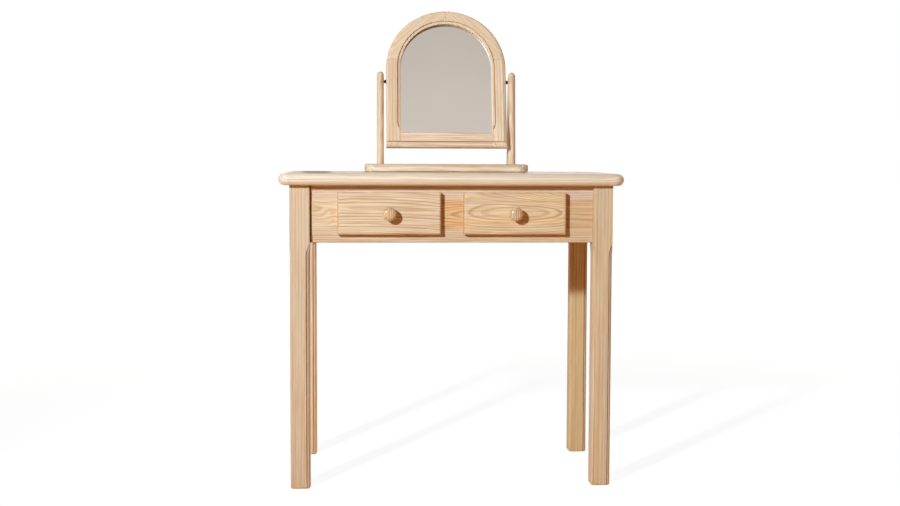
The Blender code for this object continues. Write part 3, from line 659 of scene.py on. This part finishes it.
def pine(
    name, origin, grain=X, depth=Y, pith=(0.05, 0.0), tilt=(0.0, 0.0), bow=(0.0, 0.0), ring=0.005,
    wave=0.0012, seed=0.0, late=0.8, knots=(), early=CREAM, warm=STRAW, cool=ROSE, dark=LATE, gloss=0.0,
    sheer=0.25, stave=0.0, shear=None, drift=1.0, phase=0.0, ends=0.0, painted_shade=False,
):
    """Pine sawn out of a log. The log's axis runs along the grain at the pith's depth and height, tilted
    and bowed with the distance g along it: place = pith + tilt g + bow g squared. Growth rings are shells
    about it; each darkens slowly outwards and ends sharply. Low noise bends them, knots push them aside,
    and fine fibre streaks run along the grain. shear slants the rings above a height by its share of g.
    ends is half the board's length, where the end grain has soaked up the finish and is darker. Boards
    flagged for it get painted shade from their own attribute."""
    net = Net(name)
    g, d, w = net.board(origin, grain, depth)
    place_g = g
    if stave:
        strip = net.math("FLOOR", net.mul(w, 1 / stave))
        chance = net.chance(net.add(strip, seed))
        w = net.add(net.less(w, net.mul(strip, stave)), net.mul(chance, STAVE_ACROSS * stave))
        g = net.add(g, net.mul(chance, STAVE_ALONG))
        d = net.add(d, net.mul(chance, STAVE_INTO))
    g2 = 0.0 if stave else net.mul(g, g)

    def field(key):
        """Noise stretched along the grain, as its entry in FIELDS says."""
        along, into, across, detail, roughness = FIELDS[key]
        vector = net.cells((g, d, w), (along, into, across), (0, seed, SEED_ACROSS * seed))
        return net.noise(vector, 1.0, detail, roughness)

    def off_axis(place, start, slope, curve):
        """How far a place is from the log's axis, in one of the two directions across it."""
        return net.less(place, net.add(net.add(start, net.mul(g, slope)), net.mul(g2, curve)))

    low = net.less(field("low"), 0.5)
    mid = net.less(field("mid"), 0.5)
    off_d = off_axis(d, pith[0], tilt[0], bow[0])
    off_w = off_axis(w, pith[1], tilt[1], bow[1])
    off_w = net.add(off_w, net.add(net.mul(low, LOW_BEND * wave), net.mul(mid, MID_BEND * wave)))
    if shear:
        slant, from_w, to_w = shear
        off_w = net.add(off_w, net.mul(net.mul(g, slant), net.span(w, from_w, to_w, smooth=True)))
    r = net.distance(off_d, off_w)
    r = net.add(r, net.mul(net.add(low, mid), wave))
    knotty = None
    for knot_g, knot_w, size in knots:
        q = net.distance(net.mul(net.less(g, knot_g), KNOT_ALONG), net.less(w, knot_w))
        q = net.add(q, net.mul(mid, KNOT_RAGGED * size))
        square = net.math("POWER", net.mul(q, 1 / (KNOT_SPREAD * size)), 2.0)
        push = net.math("EXPONENT", net.mul(square, -1.0))
        r = net.add(r, net.mul(push, KNOT_PUSH * size))
        inside = net.span(q, KNOT_EDGE * size, KNOT_CORE * size, smooth=True)
        knotty = inside if knotty is None else net.math("MAXIMUM", knotty, inside)
    count = net.add(net.mul(r, 1 / ring), phase)
    slow = net.noise(net.vector(net.mul(count, SLOW_RINGS), net.mul(g, SLOW_ALONG), seed), 1, 1)
    count = net.add(count, net.mul(slow, drift))
    late_wood = net.ramp(net.math("FRACT", count), LATE_STOPS)
    chance = net.chance(net.add(net.math("FLOOR", count), seed))
    strength = net.span(chance, 0, 1, LEAST_LATE * late, late)
    strength = net.mul(strength, net.span(field("patch"), *PATCH_SPAN))
    fibre = field("fibre")
    base = net.mix(net.span(field("broad"), *TONE_SPAN, smooth=True), cool, warm)
    base = net.mix(net.span(field("streak"), *TONE_SPAN), base, early)
    colour = net.mix(net.mul(late_wood, strength), base, dark)
    thread = net.span(field("thread"), *THREAD_SPAN)
    colour = net.mix(net.mul(thread, THREAD_SHARE * late), colour, dark)
    colour = net.mix(net.span(field("fleck"), *FLECK_SPAN), colour, dark)
    colour = net.mix(net.span(fibre, *FIBRE_SPAN), colour, dark)
    if knotty is not None:
        core = net.mix(net.span(mid, *HEART_SPAN), KNOT, KNOT_HEART)
        colour = net.mix(net.mul(knotty, KNOT_SHARE), colour, core)
    if ends:
        soaked = net.span(net.math("ABSOLUTE", place_g), ends - END_GRAIN, ends - END_FULL * END_GRAIN)
        colour = net.mix(net.mul(soaked, END_SHARE), colour, dark)
    # Painted shade, from the board's own attribute
    if painted_shade:
        node = net.nodes.new("ShaderNodeAttribute")
        node.attribute_name = "painted_rebate_shade"
        colour = net.mix(node.outputs["Fac"], colour, REBATE_SHADE)
    net.bump(net.add(net.mul(late_wood, BUMP_LATE), net.mul(fibre, BUMP_FIBRE)), *BUMP)
    rough = net.add(net.mul(fibre, ROUGH_FIBRE), net.mul(late_wood, ROUGH_LATE))
    return net.set(
        Base_Color=colour,
        Roughness=net.span(rough, *ROUGH_SPAN),
        Specular_IOR_Level=SPECULAR,
        Coat_Weight=gloss,
        Coat_Roughness=sheer,
    )


def rough_pine(name, origin, grain, depth, **more):
    """The unfinished pine of the hidden boards: no lacquer, a little greyer and duller."""
    return pine(name, origin, grain, depth, ring=0.0042, late=0.45, early=linear(230, 200, 168), **more)


def board_like(name, light, dark, seed, scale, gloss):
    """A fine board, such as plywood or hardboard: short streaks along x between two tones."""
    light, dark = linear(*light), linear(*dark)
    net = Net(name)
    place = net.board(ORIGIN, X, Z)
    streak = net.noise(net.cells(place, (0.12 * scale, scale, scale), (0, 0, seed)), 1, 4, 0.6)
    fine = net.noise(net.cells(place, (700, 700, 700)), 1, 2)
    colour = net.mix(net.span(streak, 0.3, 0.7), light, dark)
    colour = net.mix(net.span(fine, 0.2, 0.8, 0.18, 0.0), colour, dark)
    net.bump(fine, 0.2, 0.0002)
    return net.set(Base_Color=colour, Roughness=net.span(fine, 0, 1, gloss, gloss + 0.15))


def metal(name, tone, rough, metallic=1.0, specular=0.5):
    """Brushed steel or moulded plastic: a faint fine mottle in the tone and the roughness."""
    net = Net(name)
    fine = net.noise(net.cells(net.board(ORIGIN, X, Z), (900, 2500, 2500)), 1, 3)
    colour = net.mix(net.span(fine, 0.3, 0.7), dimmed(tone, 0.78), tone)
    rough = net.span(fine, 0, 1, rough, rough + 0.12)
    return net.set(Base_Color=colour, Roughness=rough, Metallic=metallic, Specular_IOR_Level=specular)


def silvering(name):
    """Silvered glass: a plain mirror with the faintest unevenness in its tone."""
    net = Net(name)
    soft = net.noise(net.cells(net.board(ORIGIN, X, Y), (6, 6, 6)), 1, 2)
    colour = net.mix(net.span(soft, 0.2, 0.8), linear(242, 242, 240), linear(247, 247, 246))
    return net.set(Base_Color=colour, Roughness=0.015, Metallic=1.0)


def dress(obj, material, body, slot, *nodes):
    """Gives a new piece its material and hangs it on its body in place of the CAD nodes."""
    obj.data.materials.clear()
    obj.data.materials.append(material)
    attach(obj, body)
    if nodes:
        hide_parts(*nodes)


# Table top
nose = TOP_THICKNESS / 2
arc = np.linspace(-np.pi / 2, np.pi / 2, 25)
layers = np.column_stack([nose * (1 - np.cos(arc)), TABLE_HEIGHT - nose + nose * np.sin(arc)])
rings = slab_rings(TOP_LENGTH, TOP_DEPTH, TOP_CORNER, layers, 16)
top = solid("top_board", at_world(rings, y=TOP_DEPTH / 2 - FRONT_OVERHANG))
spec = dict(pith=(-0.05, 0.03), seed=3.1, late=0.35, stave=0.075, gloss=0.6, sheer=0.12)
spec |= tones(early=(252, 237, 214), warm=(248, 229, 200), cool=(248, 228, 206))
wood = pine("pine_top", (0, 0, TABLE_HEIGHT), X, Z, ends=TOP_LENGTH / 2, **spec)
dress(top, wood, "table", "pine_top", "table_top")

# Legs
leg_grid = leg_rings()


def painted_light_leg_tones(share, blue=1.0):
    """The legs' pine with painted light and shade, whose colours in 0 to 255 are a share of these, with a
    further share for blue.
    """
    colours = dict(early=(236, 213, 188), cool=(224, 203, 184), warm=(232, 200, 160))
    return {name: linear(share * r, share * g, share * blue * b) for name, (r, g, b) in colours.items()}


# Each leg's shares paint light and shade into its pine: they lighten the rear left leg, which stands in
# shade, and darken the others, the right-hand ones also in blue
leg_specs = {
    "leg_front_left": dict(pith=(0.035, -0.055), seed=11.0, tilt=(0.006, 0.003), **painted_light_leg_tones(0.955)),
    "leg_front_right": dict(pith=(0.05, 0.045), seed=17.5, tilt=(-0.005, 0.004), **painted_light_leg_tones(0.97, 0.97)),
    "leg_rear_left": dict(pith=(0.04, -0.04), seed=23.0, **painted_light_leg_tones(1.06)),
    "leg_rear_right": dict(pith=(0.03, 0.05), seed=29.0, tilt=(0.004, -0.006), **painted_light_leg_tones(0.965, 0.91)),
}
for name, spec in leg_specs.items():
    x = (FRAME_LENGTH - LEG_SIDE) / 2 * (-1 if name.endswith("left") else 1)
    y = LEG_SIDE / 2 if "front" in name else DEPTH - LEG_SIDE / 2
    leg = solid(name.replace("leg", "post"), at_world(leg_grid, x, y))
    wood = pine("pine_" + name, (x, y + Y0, 0.3), Z, Y, ring=0.0048, late=0.6, wave=0.0008, **spec)
    dress(leg, wood, "table", "pine_legs", name)

# Front rail
half = RAIL_LENGTH / 2
strip_low = OPENING_LOW - SEAT_GAP / 2
strip_high = OPENING_HIGH + SEAT_GAP / 2
outer = DRAWER_X + OPENING_WIDTH / 2
inner = DRAWER_X - OPENING_WIDTH / 2
boards = {
    "front_rail_top": (-half, half, strip_high, RAIL_TOP),
    "front_rail_bottom": (-half, half, RAIL_BOTTOM, strip_low),
    "front_block_left": (-half, -outer, strip_low, strip_high),
    "front_block_centre": (-inner, inner, strip_low, strip_high),
    "front_block_right": (outer, half, strip_low, strip_high),
}
KNOTS = ((0.017, 0.005, 0.0050), (0.018, -0.016, 0.0042))
board_specs = {
    "front_rail_top": dict(pith=(0.07, 0.10), seed=31.0, late=0.6)
    | tones(early=(233, 212, 195), warm=(228, 200, 168), cool=(225, 198, 182)),
    "front_rail_bottom": dict(pith=(0.06, -0.10), seed=37.0)
    | tones(early=(233, 210, 182), warm=(228, 198, 157), cool=(226, 196, 170)),
    "front_block_left": dict(pith=(0.03, 0.012), bow=(0.0, 3.0), ring=0.0042, seed=41.0, knots=KNOTS),
    "front_block_centre": dict(pith=(0.012, 0.0), tilt=(-0.12, 0.0), seed=43.0, late=1.0)
    | tones(early=(243, 208, 166), warm=(240, 192, 136), cool=(230, 192, 154), dark=(184, 118, 60)),
    "front_block_right": dict(pith=(0.03, -0.02), seed=47.0)
    | tones(early=(232, 202, 166), warm=(232, 190, 142), cool=(218, 190, 160), dark=(186, 136, 88)),
}
arc = np.linspace(0, np.pi / 2, 7)
for name, (x_low, x_high, z_low, z_high) in boards.items():
    arris = RAIL_LOW_ARRIS if "bottom" in name else BOARD_ARRIS
    ease = arris * (1 - np.cos(arc))
    rise = arris * (1 - np.sin(arc))
    y_low, y_high = RAIL_RECESS, RAIL_RECESS + RAIL_THICKNESS
    y = np.concatenate([y_low + ease[::-1], y_high - ease, [y_high, y_low]])
    z = np.concatenate([z_low + rise[::-1], z_low + rise, [z_high, z_high]])
    stations = [(x, 0.0) for x in np.linspace(x_low, x_high, 9)]
    if x_low == -half:
        joint = x_low + RAIL_JOINT
        stations[:1] = [(x_low, RAIL_JOINT_DEPTH), (joint, RAIL_JOINT_DEPTH), (joint, 0.0)]
    rings = [[np.full(len(y), x), np.maximum(y, y_low + back), z] for x, back in stations]
    rings = np.swapaxes(rings, 1, 2)
    board = solid(name.replace("front_", "face_"), at_world(rings))
    origin = ((x_low + x_high) / 2, Y0 + RAIL_RECESS, (z_low + z_high) / 2)
    wood = pine("pine_" + name, origin, **board_specs[name])
    dress(board, wood, "table", "pine_rail", name)

# Drawer fronts and knobs
layers = [(0.0, 0.0)] + rounded(FRONT_ROUND, FRONT_THICKNESS)
front_rings = slab_rings(DRAWER_WIDTH, DRAWER_HEIGHT, FRONT_CORNER, layers, 6, mitred=True)
front_rings = np.stack([front_rings[..., 0], -front_rings[..., 2], front_rings[..., 1]], -1)
# The knob's radius and distance from the front, as shares of its largest radius and its reach
KNOB_SHARES = (
    (0.60, 0.00), (0.62, 0.04), (0.56, 0.10), (0.45, 0.18), (0.41, 0.27), (0.44, 0.37), (0.62, 0.44),
    (0.85, 0.49), (0.97, 0.55), (1.00, 0.64), (0.99, 0.735), (0.93, 0.82), (0.80, 0.90), (0.58, 0.96),
    (0.28, 0.995),
)
shares = smooth_curve(KNOB_SHARES, 5)
radius = np.minimum(shares[:, 0], 1.0) * KNOB_RADIUS
reach = np.clip(shares[:, 1], 0, 1) * KNOB_REACH
turned = np.column_stack([radius, reach])
spigot = [[SPIGOT_RADIUS, -SPIGOT_LENGTH], [SPIGOT_RADIUS, 0.0]]
knob_rings = turned_rings(np.vstack([spigot, turned, [[POLE_RADIUS, KNOB_REACH]]]), 64)
knob_rings = np.stack([knob_rings[..., 1], -knob_rings[..., 0], knob_rings[..., 2]], -1)
knob_spec = dict(pith=(-0.022, 0.006), bow=(12.0, 0.0), ring=0.0030, wave=0.0025, late=1.0, gloss=0.6)
knob_spec |= tones(early=(245, 212, 176), cool=(224, 188, 152), warm=(236, 192, 132), dark=(164, 110, 56))
front_specs = {
    "left": dict(pith=(0.017, 0.013), bow=(0.1, -0.25), tilt=(0.0, -0.03), seed=53.0, wave=0.0019),
    "right": dict(pith=(0.012, 0.003), bow=(0.8, 0.0), ring=0.0054, seed=59.0, wave=0.0007)
    | dict(drift=0.4, phase=-0.35, shear=(0.20, 0.006, 0.052))
    | tones(early=(247, 220, 182), warm=(245, 208, 154)),
}
middle = DRAWER_LOW + DRAWER_HEIGHT / 2
back = RAIL_RECESS - SEAT_GAP
for side, face in SIDES:
    x = face * DRAWER_X
    origin = (x, FACE_Y + Y0, middle)
    front = solid(f"front_{side}", at_world(front_rings, x, back, middle))
    wood = pine(f"pine_drawer_{side}", origin, late=1.0, ends=DRAWER_WIDTH / 2, **front_specs[side])
    dress(front, wood, f"drawer_{side}", "pine_drawer_front", f"drawer_{side}_front")
    knob = solid(f"knob_{side}", at_world(knob_rings, x, FACE_Y - SEAT_GAP, middle))
    wood = pine(f"turned_knob_{side}", origin, Z, Y, seed=61.0 + x, sheer=0.14, **knob_spec)
    dress(knob, wood, f"drawer_{side}", "turned_knob", f"drawer_{side}_knob")

# Mirror stand
layers = [(BASE_REBATE_DEPTH, 0.0), (BASE_REBATE_DEPTH, BASE_REBATE), (0.0, BASE_REBATE)]
layers += rounded(BASE_ROUND, BASE_THICKNESS)
rings = slab_rings(BASE_LENGTH, BASE_DEPTH, BASE_CORNER, layers, 20)
base = solid("stand_base", at_world(rings, 0, STAND_Y, STAND_LOW))
spec = dict(pith=(-0.04, -0.10), seed=67.0) | tones(early=(248, 232, 210), cool=(242, 218, 196))
wood = pine("pine_stand_base", (0, 0.03, 0.77), X, Z, ends=BASE_LENGTH / 2, **spec)
dress(base, wood, "table", "pine_mirror_stand", "mirror_base")
arc = np.linspace(0, np.pi / 2, 9)
arc = np.column_stack([np.sin(arc), np.clip(np.cos(arc), 0, 1)])
rounding = UPRIGHT_ROUND * (1 - arc**UPRIGHT_POWER)
rounding = [tuple(pair) for pair in rounding.tolist()]
layers = rounding + [(inset, UPRIGHT_THICKNESS - reach) for inset, reach in rounding[::-1]]
shank = SCREW_RADIUS + BORE_CLEARANCE
sunk = SCREW_HEAD + BORE_CLEARANCE
end = UPRIGHT_THICKNESS - SEAT_GAP
bore = [(shank, -CUT_OVERRUN), (shank, end - SCREW_HEAD_LENGTH)]
bore += [(sunk, end), (sunk, UPRIGHT_THICKNESS + CUT_OVERRUN)]
for side, face in SIDES:
    rings = []
    for inset, reach in layers:
        line = upright_outline(inset)
        rings.append(np.column_stack([np.full(len(line), face * reach), line]))
    upright = solid(f"upright_{side}", at_world(rings, face * UPRIGHT_X, STAND_Y, PIVOT_Z))
    bore_rings = turned_rings(bore, 24, face)
    cutter = solid(f"bore_{side}", at_world(bore_rings, face * UPRIGHT_X, STAND_Y, PIVOT_Z))
    cut = upright.modifiers.new("bore", "BOOLEAN")
    cut.object = cutter
    cut.solver = "EXACT"
    bpy.context.view_layer.update()
    evaluated = upright.evaluated_get(bpy.context.evaluated_depsgraph_get())
    mesh = bpy.data.meshes.new_from_object(evaluated)
    upright.modifiers.clear()
    upright.data = mesh
    shade(mesh)
    bpy.data.objects.remove(cutter)
    origin = (face * UPRIGHT_X, PIVOT[1], PIVOT_Z - 0.1)
    wood = pine(f"pine_upright_{side}", origin, Z, X, pith=(0.03 * face, 0.02), seed=71.0 + face, late=0.6)
    dress(upright, wood, "table", "pine_mirror_stand", f"mirror_upright_{side}")

# Mirror frame
# Painted light: the right stile's pine is lighter and the left's darker than the arch's, making up for the
# key light falling off across the frame
STILE_PAINTED_LIGHT_TONES = {
    "left": tones(early=(240, 214, 188), warm=(234, 203, 162), cool=(232, 201, 176)),
    "right": tones(early=(253, 232, 206), warm=(250, 224, 188), cool=(247, 220, 196)),
}
turn = Matrix.Rotation(-TILT, 3, "X")
into = turn @ Vector(Y)
upward = turn @ Vector(Z)
for side, face in SIDES:
    stile = solid(f"stile_{side}", stile_rings(face))
    origin = tilted([face * (ARCH_RADIUS - MEMBER / 2), -HALF, -0.05]).tolist()
    spec = dict(pith=(0.04, 0.03 * face), seed=79.0 + face, late=0.6)
    wood = pine(f"pine_stile_{side}", origin, upward, into, **spec, **STILE_PAINTED_LIGHT_TONES[side])
    dress(stile, wood, "mirror", "pine_mirror_frame", f"mirror_frame_stile_{side}")
    grid = arch_rings(face)
    arch = solid(f"arch_{side}", grid)
    # Painted shade on the inner wall, darkest at the upper left, away from the key light
    paint_rebate_shade(arch, grid)
    along = turn @ Vector((face, 0, -1)).normalized()
    origin = tilted([face * 0.08, -HALF, 0.14]).tolist()
    spec = dict(pith=(0.05, 0.02), seed=83.0 + face, late=0.4, painted_shade=True)
    wood = pine(f"pine_arch_{side}", origin, along, into, **spec)
    dress(arch, wood, "mirror", "pine_mirror_frame", f"mirror_frame_arch_{side}")
rail = solid("mirror_rail", rail_rings())
origin = tilted([0, -HALF, FRAME_LOW + MEMBER / 2]).tolist()
rail_tones = tones(early=(252, 228, 204), warm=(248, 220, 188), cool=(246, 217, 195))
wood = pine("pine_mirror_rail", origin, X, into, pith=(0.035, 0.05), seed=89.0, late=0.9, **rail_tones)
dress(rail, wood, "mirror", "pine_mirror_frame", "mirror_frame_bottom_rail")

# Pivots
steel = metal("steel", linear(196, 196, 194), rough=0.28)
plastic = metal("dark_plastic", linear(48, 28, 14), rough=0.6, metallic=0.0, specular=0.02)
tip = FRAME_WIDTH / 2 - SCREW_BITE
end = UPRIGHT_X + UPRIGHT_THICKNESS - SEAT_GAP
screw_profile = [
    (SCREW_TIP, tip),
    (SCREW_RADIUS, tip + SCREW_POINT),
    (SCREW_RADIUS, end - SCREW_HEAD_LENGTH),
    (SCREW_HEAD, end - SCREW_EDGE),
    (SCREW_HEAD - SCREW_EDGE, end),
    (SCREW_RECESS, end),
    (POLE_RADIUS, end - SCREW_RECESS_DEPTH),
]
low = FRAME_WIDTH / 2 + SEAT_GAP
high = low + PIVOT_GAP - 2 * SEAT_GAP
neck = low + COLLAR_SHARE * (high - low)
spacer_profile = [
    (shank, low),
    (SPACER_RADIUS - SPACER_EASE, low),
    (SPACER_RADIUS, low + SPACER_EASE_LENGTH),
    (SPACER_RADIUS, neck - SPACER_STEP),
    (SPACER_RADIUS - SPACER_STEP, neck),
    (SPACER_RADIUS - SPACER_NECK, neck + SPACER_NECK_STEP),
    (SPACER_RADIUS - SPACER_NECK, high),
    (shank, high),
]
for side, face in SIDES:
    screw = solid(f"screw_{side}", turned_rings(screw_profile, 40, face) + PIVOT)
    dress(screw, steel, "mirror", "steel", f"pivot_screw_{side}")
    spacer = solid(f"spacer_{side}", turned_rings(spacer_profile, 40, face) + PIVOT, wrap=True)
    dress(spacer, plastic, "mirror", "dark_plastic", f"pivot_spacer_{side}")


# Brads that hold the mirror's back: driven into the rebate's wall, they lie on the board
def back_of(node):
    """How far back a node of the mirror reaches, in the mirror's own frame."""
    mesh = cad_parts[node].data
    points = np.empty(3 * len(mesh.vertices))
    mesh.vertices.foreach_get("co", points)
    return ((points.reshape(-1, 3) - PIVOT) @ TILT_MATRIX)[:, 1].max()


wall = SIGHT_X + REBATE_WIDTH
low_wall = SIGHT_LOW - REBATE_WIDTH
brads = [(share * wall, low_wall, 0.0, 1.0) for share in (-0.5, 0.5)]
for face in (-1, 1):
    heights = np.linspace(low_wall + BRAD_LOW_MARGIN, SPRING - BRAD_HIGH_MARGIN, 3)
    brads += [(face * wall, z, -face, 0.0) for z in heights]
for angle in np.radians(BRAD_TURNS):
    across, up = math.cos(angle), math.sin(angle)
    brads.append((wall * across, SPRING + wall * up, -across, -up))
shoulder = BRAD_REACH - BRAD_RADIUS
profile = [(BRAD_RADIUS, -BRAD_BITE), (BRAD_RADIUS, shoulder)]
profile += [(BRAD_HEAD, shoulder), (BRAD_HEAD, BRAD_REACH)]
brad_rings = turned_rings(profile, 14)
depth = back_of("mirror_back_panel") + BRAD_HEAD + SEAT_GAP / 3
for number, (x, z, in_x, in_z) in enumerate(brads, 1):
    axes = np.array([[in_x, 0.0, in_z], [0.0, 1.0, 0.0], [-in_z, 0.0, in_x]])
    brad = solid(f"brad_{number}", tilted(brad_rings @ axes + np.array([x, depth, z])))
    dress(brad, steel, "mirror", "steel")

# Boards that keep their CAD form, by the first entry of kept_boards that their name holds
along_x = rough_pine("pine_unfinished_x", (0, 0.1, 0.65), X, Y, seed=97.0, pith=(0.09, 0.02))
along_y = rough_pine("pine_unfinished_y", (0, 0, 0.66), Y, X, seed=101.0, pith=(0.31, 0.05))
along_z = rough_pine("pine_unfinished_z", (0, 0, 0.7), Z, Y, seed=103.0, pith=(0.25, 0.04))
beech = board_like("beech_runner", (214, 170, 128), (190, 140, 98), seed=5.0, scale=900, gloss=0.45)
ply = board_like("plywood", (228, 202, 168), (206, 172, 130), seed=7.0, scale=240, gloss=0.5)
brown = board_like("hardboard", (140, 98, 64), (112, 74, 46), seed=9.0, scale=500, gloss=0.55)
glass = silvering("silvered_glass")
kept_boards = {
    "mirror_glass": glass,
    "mirror_back": brown,
    "runner": beech,
    "corner_block": along_z,
    "side_rail": along_y,
    "bearer": along_y,
    "_side_": along_y,
    "_bottom": ply,
}
for node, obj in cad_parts.items():
    if not obj.hide_render:
        material = next((kept_boards[part] for part in kept_boards if part in node), along_x)
        obj.data.materials.clear()
        obj.data.materials.append(material)

# Studio
AMBIENT = (0.25, 0.145, 0.075)
BOUNCE = linear(236, 182, 116)
FLOOR_FADE = (0.8, 3.0)
FLOOR_TONE = (0.37, 0.32, 0.29, 1.0)
FLOOR_FAR = (0.1, 0.1, 0.1, 1.0)
FLOOR_GLOW = (0.81, 0.86, 0.885, 1.0)
WALL_FADE = (-1.6, -0.5)
BACK_FADE = (-3.0, 3.0)
FLAG_LEFT = (-0.78, -0.72)
FLAG_RIGHT = (-0.50, -0.56)
KEY_PLACE = (-2.06, -3.36, 2.05)
KEY_AIM = (0.24, 0.0, 0.80)


def plate(name, size, place, turn):
    """A flat rectangle of the stage."""
    x, y = size[0] / 2, size[1] / 2
    points = [(-x, -y, 0), (x, -y, 0), (x, y, 0), (-x, y, 0)]
    mesh = bpy.data.meshes.new(name)
    mesh.from_pydata(points, [], [(0, 1, 2, 3)])
    obj = linked(name, mesh)
    obj.location = place
    obj.rotation_euler = turn
    return obj


def seen(net):
    """1 for camera, glossy and transmission rays that no diffuse surface has scattered, else 0."""
    light = net.nodes.new("ShaderNodeLightPath")
    any_ray = net.math("ADD", light.outputs["Is Camera Ray"], light.outputs["Is Glossy Ray"], clamp=True)
    any_ray = net.math("ADD", any_ray, light.outputs["Is Transmission Ray"], clamp=True)
    return net.mul(any_ray, net.math("LESS_THAN", light.outputs["Diffuse Depth"], 0.5))


def screen(name, size, place):
    """A standing plate that only reflections see. It gives the net and the places for its glow."""
    obj = plate(name, size, place, turn=(math.pi / 2, 0, 0))
    net = Net(name)
    net.set(Base_Color=BLACK, Specular_IOR_Level=0.0, Emission_Strength=seen(net))
    obj.data.materials.append(net.material)
    obj.visible_camera = False
    obj.visible_diffuse = False
    obj.visible_shadow = False
    obj.visible_transmission = False
    return net, net.board(ORIGIN, X, Y)


floor = plate("floor", size=(60, 60), place=(0, 0, -0.0005), turn=(0, 0, 0))
net = Net("floor")
place = net.board(ORIGIN, X, Y)
soft = net.noise(net.vector(*place), 2.0, 2)
far = net.span(net.distance(place[0], place[1]), *FLOOR_FADE, smooth=True)
near_tone = net.mix(net.span(soft, 0, 1), dimmed(FLOOR_TONE, 0.98), FLOOR_TONE)
net.set(
    Base_Color=net.mix(seen(net), BOUNCE, net.mix(far, near_tone, FLOOR_FAR)),
    Roughness=0.9,
    Specular_IOR_Level=0.0,
    Emission_Color=net.mix(far, FLOOR_GLOW, WHITE),
    Emission_Strength=seen(net),
)
floor.data.materials.append(net.material)

net, place = screen("studio_wall", size=(24, 14), place=(0, -4.5, 5.0))
height = net.span(place[1], *WALL_FADE)
net.set(Emission_Color=net.mix(height, linear(216, 206, 198), linear(199, 190, 180)))

net, place = screen("studio_back", size=(30, 9), place=(0, 7.0, 3.4))
side_to_side = net.span(place[0], *BACK_FADE, smooth=True)
glow = net.mix(side_to_side, linear(226, 221, 215), linear(244, 243, 246))
flag = net.mul(net.span(place[0], *FLAG_LEFT), net.span(place[0], *FLAG_RIGHT))
net.set(Emission_Color=net.mix(flag, glow, linear(80, 76, 70)))

world = bpy.data.worlds.new("studio")
bpy.context.scene.world = world
net = Net("studio", world)
background = net.nodes["Background"]
background.inputs["Color"].default_value = (*AMBIENT, 1)
white = net.nodes.new("ShaderNodeBackground")
white.inputs["Color"].default_value = WHITE
blend = net.nodes.new("ShaderNodeMixShader")
net.put(blend.inputs[0], seen(net))
net.put(blend.inputs[1], background.outputs[0])
net.put(blend.inputs[2], white.outputs[0])
net.put(net.nodes["World Output"].inputs["Surface"], blend.outputs[0])


def lamp(name, kind, colour, energy, place, direction):
    """A studio light that shines along the direction."""
    data = bpy.data.lights.new(name, kind)
    data.energy = energy
    data.color = colour
    obj = linked(name, data)
    obj.location = place
    obj.rotation_euler = Vector(direction).to_track_quat("-Z", "Y").to_euler()
    return obj


key = lamp("key", "SPOT", (0.74, 0.90, 1.0), 750, KEY_PLACE, Vector(KEY_AIM) - Vector(KEY_PLACE))
key.data.shadow_soft_size = 0.15
key.data.spot_size = math.radians(56)
key.data.spot_blend = 1.0
for fill in (
    lamp("rear_fill", "SUN", (0.90, 0.96, 1.0), 1.5, ORIGIN, (-0.18, -1.0, -0.16)),
    lamp("side_fill", "SUN", (0.74, 0.88, 1.0), 1.6, ORIGIN, (-0.76, -0.64, -0.12)),
):
    fill.data.angle = math.radians(20)
    fill.visible_glossy = False

# Camera, as fitted to the photograph
FOCAL_PIXELS = 1302.589
PICTURE_WIDTH = 900
SENSOR_WIDTH = 36.0
yaw, pitch, roll = math.radians(-3.6623), math.radians(-3.706), math.radians(0.2178)
turn = Matrix.Rotation(yaw, 3, "Z")
forward = Vector((0, math.cos(pitch), math.sin(pitch)))
up = Vector((0, -math.sin(pitch), math.cos(pitch)))
right = Vector(X)
side = turn @ (math.cos(roll) * right + math.sin(roll) * up)
head = turn @ (-math.sin(roll) * right + math.cos(roll) * up)
sight = turn @ forward
data = bpy.data.cameras.new("camera")
data.sensor_width = SENSOR_WIDTH
data.lens = SENSOR_WIDTH * FOCAL_PIXELS / PICTURE_WIDTH
data.shift_x = -0.00695
data.shift_y = -0.01523
data.clip_end = 200
camera = linked("camera", data)
matrix = Matrix((side, head, -sight)).transposed().to_4x4()
matrix.translation = (-0.18955, -3.30026, 0.80427)
camera.matrix_world = matrix
bpy.context.scene.camera = camera
bpy.context.scene.view_settings.view_transform = "Standard"

bpy.context.view_layer.update()
